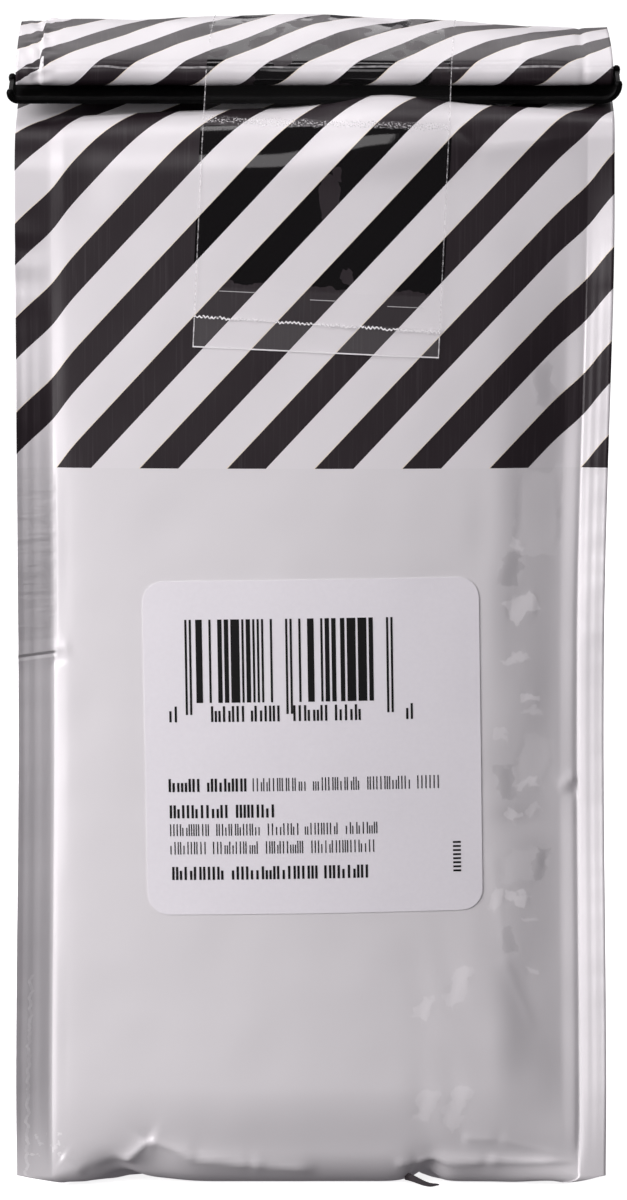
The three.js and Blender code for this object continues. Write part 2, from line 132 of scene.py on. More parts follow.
@dataclass(frozen=True)
class Facet:
    """A small flat patch in a crumpled face, turned to the left by its tilt; millimetres and degrees."""

    x: float
    z: float
    across: float
    up: float
    tilt: float
    turn: float = 0.0

    def height_at(self, x: Array, z: Array) -> Array:
        """Returns how far the patch stands out at points of the face: half its tilt is real relief."""
        along, aside = turned_axes(x - self.x, z - self.z, self.turn)
        reach = np.abs(along / self.across) ** 3 + np.abs(aside / self.up) ** 3 + FACET_EDGE.at(x, z)
        return 0.5 * math.tan(math.radians(self.tilt)) * (x - self.x) * FACET_FADE.at(reach)


@dataclass(frozen=True)
class Crease:
    """A sharp fold line on a face from one point to another; it stands out where height is positive."""

    start: tuple[float, float]
    end: tuple[float, float]
    height: float
    width: float = 0.7

    def height_at(self, x: Array, z: Array) -> Array:
        """Finds how far the fold stands out.

        Args:
            x: distances from the middle of the face.
            z: heights.

        Returns:
            The height at each point.
        """
        (x0, z0), (x1, z1) = self.start, self.end
        length = math.hypot(x1 - x0, z1 - z0)
        along = ((x - x0) * (x1 - x0) + (z - z0) * (z1 - z0)) / length**2
        near = np.clip(along, 0, 1)
        gap = np.hypot(x - lerp(x0, x1, near), z - lerp(z0, z1, near))
        taper = CREASE_STARTS.at(along) * CREASE_ENDS.at(along)
        return self.height * taper * np.exp(-(np.hypot(gap, CREASE_TIP) - CREASE_TIP) / self.width)


@dataclass(frozen=True)
class Ripples:
    """Smooth unevenness from a few seeded waves, mostly between its height and the same below.

    The wavelength is the typical distance between crests in millimetres, and upright says how much longer
    the waves are along the second axis.
    """

    seed: int
    wavelength: float
    height: float = 1.0
    count: int = 14
    upright: float = 1.0
    spread: tuple[float, float] = (0.6, 1.7)

    def at(self, x: Array, z: Array, shift: int = 0) -> Array:
        """Returns the unevenness at points.

        Args:
            x: their first coordinate.
            z: their second one.
            shift: added to the seed, so that like places differ.

        Returns:
            The height at each.
        """
        rng = np.random.default_rng(self.seed + shift)
        turn = rng.uniform(0, 2 * math.pi, self.count)
        size = 2 * math.pi / (self.wavelength * rng.uniform(*self.spread, self.count))
        across, up = size * np.cos(turn), size * np.sin(turn) / self.upright
        phase = rng.uniform(0, 2 * math.pi, self.count)
        total = sum(np.sin(a * x + b * z + c) for a, b, c in zip(across, up, phase))
        return self.height * total / math.sqrt(self.count)


FACET_EDGE = Ripples(97, 3.0, 0.16)  # raggedness of a patch's outline
FACET_FADE = Ramp(1.15, 0.6)
CREASE_STARTS = Ramp(-0.05, 0.12)  # shares of a crease's length in which it rises and fades
CREASE_ENDS = Ramp(1.05, 0.7)
CREASE_TIP = 0.12  # how round the top of a crease is, in millimetres


@dataclass
class Rows:
    """The levels of the film body, each a zone and a share of it, as columns of numbers."""

    zone: Array
    t: Array
    closer: ClassVar[float] = 0.45  # how close the wall's lowest levels are, as a share of even spacing

    @classmethod
    def spread(cls, counts: dict[Zone, int]) -> "Rows":
        """Spreads levels evenly in each zone, the first of them at its start.

        Args:
            counts: number of levels in each zone, from the floor up.

        Returns:
            The levels.
        """
        zones = [np.full(n, z.value) for z, n in counts.items()]
        shares = [np.arange(n) / (n - 1 if z is Zone.GABLE else n) for z, n in counts.items()]
        shares = [t * lerp(cls.closer, 1.0, t) if z is Zone.WALL else t for z, t in zip(counts, shares)]
        return cls(np.concatenate(zones)[:, None], np.concatenate(shares)[:, None])


@dataclass
class FilmShape:
    """The filled bag's film, the same body as the CAD node with its wrinkles; millimetres."""

    half_panel: float = 39.6
    seal_width: float = 4.6
    seal_thickness: float = 0.36
    half_depth: float = 27.2
    shoulder_height: tuple[float, float] = (154.0, 159.2)
    shoulder_round: tuple[float, float] = (8.6, 4.4)
    shoulder_turn: float = math.radians(73)
    ridge_height: float = 171.3
    ridge_half: float = 0.6
    wider_at_top: float = 0.018
    wider_at_foot: float = 0.015
    lean: float = -0.5
    seal_step: float = 0.4
    step_reach: float = 2.0
    belly: dict[Side, float] = field(default_factory=lambda: {Side.FRONT: 3.1, Side.BACK: 3.3})
    side_swell: float = 2.6
    gusset_crease: float = 3.0
    bottom_tuck: float = 7.0
    bottom_tuck_height: float = 24.0
    gusset_fold: float = 0.85
    base_radius: float = 6.0
    base_corner_radius: float = 1.4
    side_radius: float = 2.2
    floor_inset: float = 5.0
    lip_reach: float = 0.05
    flare: dict[int, float] = field(default_factory=lambda: {-1: 1.7, 1: 1.0})
    right_slope: float = 0.23
    right_foot_height: float = 0.1
    right_level: float = 37.4
    corner_lift: float = 0.6
    root_shift: float = 0.65
    dents: Sequence[Dent] = ()
    creases: Sequence[Crease] = ()
    facets: Sequence[Facet] = ()
    foot_lifts: Sequence[tuple[float, float, float]] = ()
    to_the_right: Ramp = Ramp(-5, 36)
    foot_rise: Ramp = Ramp(0, 16)
    slack: Ramp = Ramp(92, 160)
    slack_share: float = 0.5
    hump: tuple[float, float, float] = (10, 10, 1.9)  # middle, width and height of the film before the tie
    hump_rise: Ramp = Ramp(152, 161)
    right_soft: float = 0.7
    right_join: float = 0.3
    right_foot: Ramp = Ramp(4, 24)
    right_top: Ramp = Ramp(152, 118)
    right_from: Ramp = Ramp(12, 24)
    top_spread: Ramp = Ramp(82, 152)
    foot_spread: Ramp = Ramp(75, 8)
    shift_reach: float = 2.6
    calm_edge: float = 3.0
    waves: Ripples = Ripples(3, 34, 0.14, upright=1.6)
    grain: Ripples = Ripples(9, 9, 0.02, upright=1.3)
    crumple: Ripples = Ripples(21, 11, 0.09, 18, 1.6)
    back_waves: Ripples = Ripples(31, 15, 0.1, upright=1.2)
    waves_rise: Ramp = Ramp(2, 12)
    crumple_from: Ramp = Ramp(22, 28)
    crumple_foot: Ramp = Ramp(6, 20)
    crumple_top: Ramp = Ramp(132, 104)
    calm_shoulder: Ramp = Ramp(164, 156)
    shoulder_calm: float = 0.3
    corner_from: Ramp = Ramp(31, 39)
    foot_lifted: Ramp = Ramp(9, 0)
    seal_at_floor: float = 0.06
    seal_foot: Ramp = Ramp(0, 20)
    seal_top: Ramp = Ramp(168, 150)
    flare_falls: dict[int, Ramp] = field(default_factory=lambda: {-1: Ramp(132, 108), 1: Ramp(162, 140)})
    flare_power: float = 1.25
    flare_low: tuple[float, Ramp] = (1.25, Ramp(30, 90))
    seal_wave: Ripples = Ripples(40, 7.0, upright=0.5)
    seal_bow: Ripples = Ripples(50, 40.0, 0.15, upright=0.6)
    pucker_everywhere: float = 0.04
    puckers: dict[int, Sequence[tuple[float, float, float]]] = field(
        default_factory=lambda: {-1: ((90, 22, 0.08), (141, 5, 0.4)), 1: ((90, 22, 0.08), (141, 5, 0.08))}
    )
    seal_ridges: tuple[float, int] = (0.04, 3)
    ridges_from: Ramp = Ramp(0, 0.15)
    ridges_top: Ramp = Ramp(150, 120)
    groove_depth: dict[int, float] = field(default_factory=lambda: {-1: 0.13, 1: 0.3})
    groove_falls: dict[int, Ramp] = field(default_factory=lambda: {-1: Ramp(124, 104), 1: Ramp(150, 70)})
    groove_width: float = 0.5
    groove_foot: Ramp = Ramp(0, 8)
    side_rise: Ramp = Ramp(2, 40)
    side_fall: Ramp = Ramp(158, 112)
    side_fold: float = 0.04
    side_waves: Ripples = Ripples(60, 26, 0.22, upright=1.5)
    side_grain: Ripples = Ripples(70, 7, 0.05)
    side_waves_foot: Ramp = Ramp(2, 12)
    side_waves_top: Ramp = Ramp(166, 150)
    crease_rise: Ramp = Ramp(97, 152)
    fold_closes: Ramp = Ramp(1, 0.8)

    def shoulder_start(self, x: Array) -> Array:
        """Returns where a face starts to turn back, by the distance from its middle."""
        return lerp(*self.shoulder_height, self.to_the_right.at(x))

    def shoulder_radius(self, x: Array) -> Array:
        """Returns how tightly the shoulder turns: it is squarer at its right end."""
        return lerp(*self.shoulder_round, self.to_the_right.at(x))

    def base_turn(self, x: Array) -> Array:
        """Returns the radius with which a face turns into the base."""
        share = np.clip(1 - (x / self.half_panel) ** 4, 0, 1)
        return lerp(self.base_corner_radius, self.base_radius, share)

    def path(self, rows: Rows, x: Array) -> tuple[Array, Array, Array, Array, Array]:
        """Follows the plane of a face's seals.

        Args:
            rows: the levels.
            x: distances from the middle of the face, one for each column.

        Returns:
            Outward distance, height, the two parts of the outward direction, and the length of film.
        """
        zone, t = rows.zone, rows.t
        base, start, radius = self.base_turn(x), self.shoulder_start(x), self.shoulder_radius(x)
        low = t * math.pi / 2
        turn = np.where(zone == Zone.SHOULDER.value, t, 1.0) * self.shoulder_turn
        share = np.where(zone == Zone.GABLE.value, t, 0.0)
        arc_y = self.half_depth - radius * (1 - np.cos(turn))
        arc_z = start + radius * np.sin(turn)
        slope = np.hypot(arc_y - self.ridge_half, self.ridge_height - arc_z)
        one, none = np.ones_like(x * t), np.zeros_like(x * t)

        def pick(floor: Array, arc: Array, wall: Array, top: Array) -> Array:
            """Picks each zone's own values.

            Args:
                floor: those of the floor.
                arc: of the base.
                wall: of the wall.
                top: of shoulder and gable.

            Returns:
                The values at each point.
            """
            return np.select(
                [zone == Zone.FLOOR.value, zone == Zone.BASE.value, zone == Zone.WALL.value],
                [floor * one, arc * one, wall * one],
                top * one,
            )

        inset = self.floor_inset * (1 - t)
        y = pick(
            self.half_depth - base - inset,
            self.half_depth - base * (1 - np.sin(low)),
            self.half_depth,
            lerp(arc_y, self.ridge_half, share),
        )
        z = pick(none, base * (1 - np.cos(low)), lerp(base, start, t), lerp(arc_z, self.ridge_height, share))
        out_y = pick(none, np.sin(low), one, np.cos(turn))
        out_z = pick(none, -np.cos(low), none, np.sin(turn))
        film = pick(
            none, base * (1 - np.cos(low)), lerp(base, start, t), start + radius * turn + share * slope,
        )
        return y, z, out_y, out_z, film

    def swell(self, x: Array, z: Array, side: Side) -> Array:
        """Finds how far a filled face stands out of the plane of its seals.

        Args:
            x: distances from the middle of the face.
            z: heights.
            side: which face.

        Returns:
            The distance at each point.
        """
        inside = np.maximum(0, self.half_panel - np.abs(x))
        across = np.clip(1 - (x / self.half_panel) ** 2, 0, 1)
        step = self.seal_step * (1 - np.exp(-inside / self.step_reach))
        upright = self.foot_rise.at(z) * (1 - self.slack_share * self.slack.at(z))
        plain = (step + self.belly[side] * across) * upright
        if side is Side.BACK:
            return plain
        middle, width, height = self.hump
        hump = height * hill(x - middle, width) * self.hump_rise.at(z)
        inward = self.right_soft * np.logaddexp(0, (self.right_level - x) / self.right_soft)
        ramp = self.right_foot_height + self.right_slope * inward
        lower = -self.right_join * np.logaddexp(-ramp / self.right_join, -plain / self.right_join)
        share = self.right_foot.at(z) * self.right_top.at(z) * self.right_from.at(x)
        return lerp(plain, lower, share) + hump

    def wrinkles(self, x: Array, z: Array, side: Side) -> Array:
        """Finds the fine relief of a face, out of it where positive.

        Args:
            x: distances from the middle of the face.
            z: lengths of film from the foot.
            side: which face.

        Returns:
            The height at each point.
        """
        inside = smooth(0, self.calm_edge, self.half_panel - np.abs(x))
        waves = self.waves.at(x, z, side.value) + self.grain.at(x, z, side.value)
        relief = inside * self.waves_rise.at(z) * waves
        if side is Side.FRONT:
            crumple = self.crumple_from.at(x) * self.crumple_top.at(z) * self.crumple_foot.at(z)
            relief = relief + inside * crumple * self.crumple.at(x, z)
            relief = relief - sum(dent.depth_at(x, z) for dent in self.dents)
            relief = relief + sum(form.height_at(x, z) for form in (*self.creases, *self.facets))
        else:
            relief = relief + inside * self.back_waves.at(x, z)
        return relief

    def lip(self, rows: Rows) -> Array:
        """Returns how much of the swell is left: it ends in a lip before the tie."""
        return np.where(rows.zone == Zone.GABLE.value, 1 - smooth(0, self.lip_reach, rows.t), 1.0)

    def narrowing(self, rows: Rows) -> Array:
        """Finds how much narrower the levels near the foot are, on each side.

        Args:
            rows: the levels.

        Returns:
            The narrowing of each.
        """
        base = np.where(rows.zone == Zone.BASE.value, rows.t, 1.0)
        flat = rows.zone == Zone.FLOOR.value
        inset = np.where(flat, self.floor_inset * (1 - rows.t) + self.side_radius, 0)
        return inset + self.side_radius * (1 - np.sin(base * math.pi / 2))

    def spread(self, x: Array, z: Array) -> Array:
        """Returns x with the body's lean and the wider, empty top."""
        rise, fall = self.top_spread.at(z), self.foot_spread.at(z)
        shifted = x + self.root_shift * hill(np.abs(x) - self.half_panel, self.shift_reach)
        return shifted * (1 + self.wider_at_top * rise + self.wider_at_foot * fall) + self.lean * (1 - rise)

    def face(self, rows: Rows, x: Array, side: Side) -> tuple[Array, Array]:
        """Makes the points of a face.

        Args:
            rows: the levels.
            x: the columns' distances from its middle.
            side: which face.

        Returns:
            The points and the length of film at each.
        """
        y, z, out_y, out_z, film = self.path(rows, x)
        calm = lerp(self.shoulder_calm, 1.0, self.calm_shoulder.at(z))
        if side is Side.FRONT:
            lifts = sum(lift * hill(x - at, width) for at, lift, width in self.foot_lifts)
            corners = self.corner_lift * self.corner_from.at(np.abs(x))
            z = z + (lifts + corners) * self.foot_lifted.at(z)
        out = self.swell(x, z, side) * self.lip(rows) + self.wrinkles(x, film, side) * calm
        inside = self.half_panel - np.abs(x)
        out = out + np.where(x < 0, self.groove(-1, inside, z), self.groove(1, inside, z))
        root = (self.half_panel - self.narrowing(rows)) / self.half_panel
        points = np.stack(
            [self.spread(x * root, z), side.value * (y + out_y * out), z + out_z * out], axis=-1
        )
        bent = (rows.zone > Zone.WALL.value)[1:]
        steps = np.where(bent, np.hypot(*np.moveaxis(np.diff(points[..., 1:], axis=0), -1, 0)), 0)
        walked = np.concatenate([np.zeros((1, film.shape[1])), np.cumsum(steps, axis=0)])
        top = np.where(rows.zone <= Zone.WALL.value, film, 0).max(axis=0)
        return points, np.where(rows.zone > Zone.WALL.value, top + walked, film)

    def seal(self, rows: Rows, hand: int, side: Side, share: Array, inner: bool) -> tuple[Array, Array]:
        """Makes the points of one skin of a corner seal.

        Args:
            rows: the levels.
            hand: -1 for the left seals and 1 for the right ones.
            side: the face that the seal belongs to.
            share: how far out each column is, from 0 at the root to 1 at the tip.
            inner: whether it is the skin that looks into the gusset.

        Returns:
            The points and the length of film at each.
        """
        y, z, out_y, out_z, film = self.path(rows, np.array([[hand * self.half_panel]]))
        foot = rows.zone <= Zone.BASE.value
        tapered = np.where(rows.zone == Zone.BASE.value, rows.t, 0) ** 2
        width = np.where(foot, np.maximum(self.seal_at_floor, tapered), 1.0)
        x = hand * (self.half_panel - self.narrowing(rows) + share * self.seal_width * width)
        upright = self.seal_foot.at(z) * self.seal_top.at(z)
        pucker = self.pucker(hand, side, share, z) * upright + self.groove(hand, share * self.seal_width, z)
        turned = self.flare[hand] * self.flare_falls[hand].at(z) * share**self.flare_power
        low, rise = self.flare_low
        flare = turned * upright * lerp(low, 1.0, rise.at(z)) + pucker
        depth = self.seal_thickness if inner else 0.0
        z = z + self.corner_lift * self.foot_lifted.at(z)
        in_y, in_z = np.where(foot, 1.0, out_y), np.where(foot, 0.0, out_z)
        points = np.stack(
            np.broadcast_arrays(
                self.spread(x, z),
                side.value * (y + flare * out_y - depth * in_y),
                z + flare * out_z - depth * in_z,
            ),
            axis=-1,
        )
        return points, np.broadcast_to(film, x.shape)

    def pucker(self, hand: int, side: Side, share: Array, z: Array) -> Array:
        """Finds the waviness of a seal, out of its plane where positive.

        Args:
            hand: -1 for the left and 1 for the right.
            side: the face that the seal belongs to.
            share: how far out the columns are.
            z: heights.

        Returns:
            The height at each point.
        """
        shift = 3 * hand + side.value
        wave = self.seal_wave.at(share * 2, z, shift)
        bow = self.seal_bow.at(share * 5, z, shift)
        drawn = sum(height * hill(z - middle, reach) for middle, reach, height in self.puckers[hand])
        height, count = self.seal_ridges
        ridges = height * np.cos(2 * math.pi * share * count)
        ridges = ridges * self.ridges_from.at(share) * self.ridges_top.at(z)
        return share * ((self.pucker_everywhere + drawn) * wave + bow) + ridges

    def groove(self, hand: int, inside: Array, z: Array) -> Array:
        """Returns how far the film dips beside the root of a seal, as a negative height."""
        depth = self.groove_depth[hand] * self.groove_falls[hand].at(z)
        return -depth * hill(inside, self.groove_width) * self.groove_foot.at(z)

    def gusset(self, rows: Rows, hand: int, s: Array) -> tuple[Array, Array]:
        """Makes the points of a side, from the front seal at s 0 to the back one at s 1.

        Args:
            rows: the levels.
            hand: -1 for the left side and 1 for the right one.
            s: how far back each column is.

        Returns:
            The points and the length of film at each.
        """
        front, film = self.seal(rows, hand, Side.FRONT, np.array([[0.0]]), True)
        back, _ = self.seal(rows, hand, Side.BACK, np.array([[0.0]]), True)
        z = lerp(front[..., 2], back[..., 2], s)
        bow = 4 * s * (1 - s)
        out = self.side_swell * bow * self.side_rise.at(z) * self.side_fall.at(z)
        tuck = self.tuck(rows, hand, z) * (1 - np.hypot(2 * s - 1, self.side_fold))
        deep = s * 2 * self.half_depth
        rough = self.side_waves.at(deep, z, hand) + self.side_grain.at(deep, z, hand)
        rough = rough * np.clip(bow * 2, 0, 1) * self.side_waves_foot.at(z) * self.side_waves_top.at(z)
        x = lerp(front[..., 0], back[..., 0], s) + hand * (out - tuck + rough)
        y = lerp(front[..., 1], back[..., 1], s)
        return np.stack(np.broadcast_arrays(x, y, z), axis=-1), np.broadcast_to(film, x.shape)

    def tuck(self, rows: Rows, hand: int, z: Array) -> Array:
        """Finds how far the middle crease of a side is folded in.

        Args:
            rows: the levels.
            hand: -1 for the left and 1 for the right.
            z: heights.

        Returns:
            The depth at each point.
        """
        y, _, _, _, _ = self.path(rows, np.array([[hand * self.half_panel]]))
        gap = np.where(rows.zone <= Zone.WALL.value, self.half_depth, np.minimum(y, self.half_depth))
        folded = np.sqrt(np.maximum(0, self.half_depth**2 - gap**2))
        closing = np.where(rows.zone == Zone.GABLE.value, self.fold_closes.at(rows.t), 1.0)
        bottom = self.bottom_tuck * np.maximum(0, 1 - z / self.bottom_tuck_height) ** 2
        crease = self.gusset_crease * self.crease_rise.at(z)
        return bottom + (crease + folded * self.gusset_fold) * closing


def mesh_object(name: str, points: Array, faces: Sequence[Sequence[int]], uvs: Array | None = None,
                uv_name: str = "film") -> bpy.types.Object:
    """Makes a smooth-shaded mesh object from points in millimetres.

    Args:
        name: the piece's name.
        points: the vertices.
        faces: vertex numbers of each face.
        uvs: a UV pair for each corner of each face, in order.
        uv_name: the name of its UV map.

    Returns:
        The object, at the origin.
    """
    mesh = bpy.data.meshes.new(name)
    mesh.from_pydata((points.reshape(-1, 3) * MM).tolist(), [], faces)
    if uvs is not None:
        layer = mesh.uv_layers.new(name=uv_name)
        layer.data.foreach_set("uv", np.asarray(uvs, np.float32).ravel())
    mesh.polygons.foreach_set("use_smooth", np.ones(len(mesh.polygons), bool))
    mesh.update()
    made = bpy.data.objects.new(name, mesh)
    bpy.context.scene.collection.objects.link(made)
    return made


def thicken(piece: bpy.types.Object, thickness: float, offset: float = -1.0) -> None:
    """Gives the active piece, a sheet, its thickness.

    Args:
        piece: the sheet.
        thickness: how thick it becomes, in millimetres.
        offset: -1 for inwards of its normals, 0 for half each way and 1 for outwards.
    """
    modifier = piece.modifiers.new("thick", "SOLIDIFY")
    modifier.thickness = thickness * MM
    modifier.offset = offset
    bpy.ops.object.modifier_apply(modifier="thick")


def tube_faces(rows: int, columns: int) -> Array:
    """Makes the quads of a closed tube of points, facing out for loops that turn left.

    Args:
        rows: number of loops.
        columns: points in each.

    Returns:
        Four vertex numbers for each quad.
    """
    r, c = np.meshgrid(np.arange(rows - 1), np.arange(columns), indexing="ij")
    a = r * columns + c
    b = r * columns + (c + 1) % columns
    return np.stack([a, b, b + columns, a + columns], axis=-1).reshape(-1, 4)


def tube_uvs(u: Array, v: Array) -> Array:
    """Makes the UV pairs of those quads.

    Args:
        u: first coordinates, with one column more than the tube.
        v: second ones.

    Returns:
        Four pairs for each quad.
    """
    def corner(dr: int, dc: int) -> Array:
        """Returns the UV pairs of one corner of every quad."""
        rows, columns = u.shape[0] - 1, u.shape[1] - 1
        part = (slice(dr, dr + rows), slice(dc, dc + columns))
        return np.stack([u[part], v[part]], axis=-1)

    return np.stack([corner(0, 0), corner(0, 1), corner(1, 1), corner(1, 0)], axis=2).reshape(-1, 2)


def eased(count: int, strength: float = 0.55) -> Array:
    """Returns that many shares from 0 to 1, closer together at both ends."""
    t = np.linspace(0, 1, count)
    return lerp(t, t * t * (3 - 2 * t), strength)


class FoldLine:
    """Walks a line in the YZ plane by straight stretches and bends, in small steps."""

    def __init__(self, y: float, z: float, heading: float, step: float = 0.7) -> None:
        """Starts the walk.

        Args:
            y: start, out of the middle of the bag.
            z: height of the start.
            heading: direction, in radians from +Y towards +Z.
            step: length of one step on a straight stretch.
        """
        self.step = step
        self.points = [(y, z, heading)]

    def forward(self, length: float) -> "FoldLine":
        """Walks straight on.

        Args:
            length: how far.

        Returns:
            The line itself.
        """
        pieces = max(1, round(length / self.step))
        for _ in range(pieces):
            y, z, heading = self.points[-1]
            part = length / pieces
            self.points.append((y + part * math.cos(heading), z + part * math.sin(heading), heading))
        return self

    def bend(self, radius: float, angle: float, pieces: int) -> "FoldLine":
        """Turns left.

        Args:
            radius: how tightly.
            angle: how far, in radians.
            pieces: number of steps.

        Returns:
            The line itself.
        """
        turn = angle / pieces
        chord = 2 * radius * math.sin(turn / 2)
        for _ in range(pieces):
            y, z, heading = self.points[-1]
            ahead = heading + turn / 2
            self.points.append((y + chord * math.cos(ahead), z + chord * math.sin(ahead), heading + turn))
        return self

    def offset(self, distance: float) -> Array:
        """Moves the line to its right.

        Args:
            distance: how far.

        Returns:
            Y and Z of each point.
        """
        line = np.array(self.points)
        return np.stack(
            [line[:, 0] + distance * np.sin(line[:, 2]), line[:, 1] - distance * np.cos(line[:, 2])], axis=-1
        )


@dataclass
class RollShape:
    """The flattened mouth, folded forward and rolled; millimetres."""

    half_width: float = 45.0
    film_stack: float = 0.8
    mouth_y: float = 0.5
    mouth_root: float = 166.0
    mouth_rise: float = 8.5
    ridge_bend: float = 2.3
    roof_angle: float = math.radians(18)
    roof_length: float = 19.4
    roof_bulge: float = 0.8
    left_fold: float = -41.3
    front_bend: float = 1.5
    underside_angle: float = math.radians(17.5)
    underside_length: float = 17.0
    inner_bend: float = 0.65
    inner_length: float = 13.0
    roof_top: tuple[float, float] = (-2.6, 177.0)
    roof_front: float = -22.0
    bend_steps: tuple[int, int, int] = (16, 18, 10)
    skin: Ramp = Ramp(-2.2, -0.9)  # how close under the roof the film is lifted with it
    ridge_hump: tuple[float, float, float] = (-5, 17, 0.9)  # its middle, width and height
    right_drop: tuple[float, Ramp] = (1.3, Ramp(14, 44))
    outside: Ramp = Ramp(-4.5, -2.0)
    waves: Ripples = Ripples(81, 21, 0.15, upright=0.9)
    grain: Ripples = Ripples(83, 6, 0.035)
    fold_puckers: Ripples = Ripples(85, 2.6, 0.16, upright=0.8)
    fold_reach: float = 2.4
    fold_edge: float = 0.25
    fold_depth: float = 0.34
    right_groove: tuple[float, float, float] = (40.6, 0.5, 0.2)  # its place, width and depth
    lap_height: float = 0.1
    lap: Ramp = Ramp(34.6, 34.9)
    lap_slant: float = 0.12

    def line(self) -> FoldLine:
        """Returns the middle line of the rolled film."""
        ridge, front, inner = self.bend_steps
        return (
            FoldLine(self.mouth_y, self.mouth_root, math.pi / 2)
            .forward(self.mouth_rise)
            .bend(self.ridge_bend, math.pi / 2 + self.roof_angle, ridge)
            .forward(self.roof_length)
            .bend(self.front_bend, math.pi - self.roof_angle + self.underside_angle, front)
            .forward(self.underside_length)
            .bend(self.inner_bend, math.pi, inner)
            .forward(self.inner_length)
        )

    def lift(self, x: Array, y: Array, z: Array) -> Array:
        """Finds how far the roof of the roll is lifted.

        Args:
            x: the points' place along the roll.
            y: their depth.
            z: their height.

        Returns:
            The rise at each point.
        """
        top, front = self.roof_top[0], self.roof_front
        in_skin = self.skin.at(z - self.roof_line(y))
        along = np.clip((top - y) / (top - front), 0, 1)
        middle, width, height = self.ridge_hump
        drop, falling = self.right_drop
        uneven = height * hill(x - middle, width) - drop * falling.at(x)
        return in_skin * (smooth(front, top, y) * uneven + self.roof_bulge * 4 * along * (1 - along))

    def roof_line(self, y: Array) -> Array:
        """Returns the height of the plain roof at a distance from the middle."""
        return self.roof_top[1] + np.minimum(0, y - self.roof_top[0]) * math.tan(self.roof_angle)

    def unevenness(self, x: Array, film: Array, y: Array, z: Array) -> Array:
        """Finds the small waves of the rolled film, out of it where positive.

        Args:
            x: the points' place along the roll.
            film: the length of film there.
            y: their depth.
            z: their height.

        Returns:
            The height at each point.
        """
        waves = self.waves.at(x, film) + self.grain.at(x, film)
        folded = smooth(self.left_fold + self.fold_edge, self.left_fold - self.fold_edge, x)
        puckers = hill(x - self.left_fold, self.fold_reach) * self.fold_puckers.at(x, film)
        place, width, depth = self.right_groove
        ends = puckers - self.fold_depth * folded - depth * hill(x - place, width)
        lap = self.lap_height * self.lap.at(x + self.lap_slant * film)
        return (waves + ends + lap) * self.outside.at(z - self.roof_line(y))


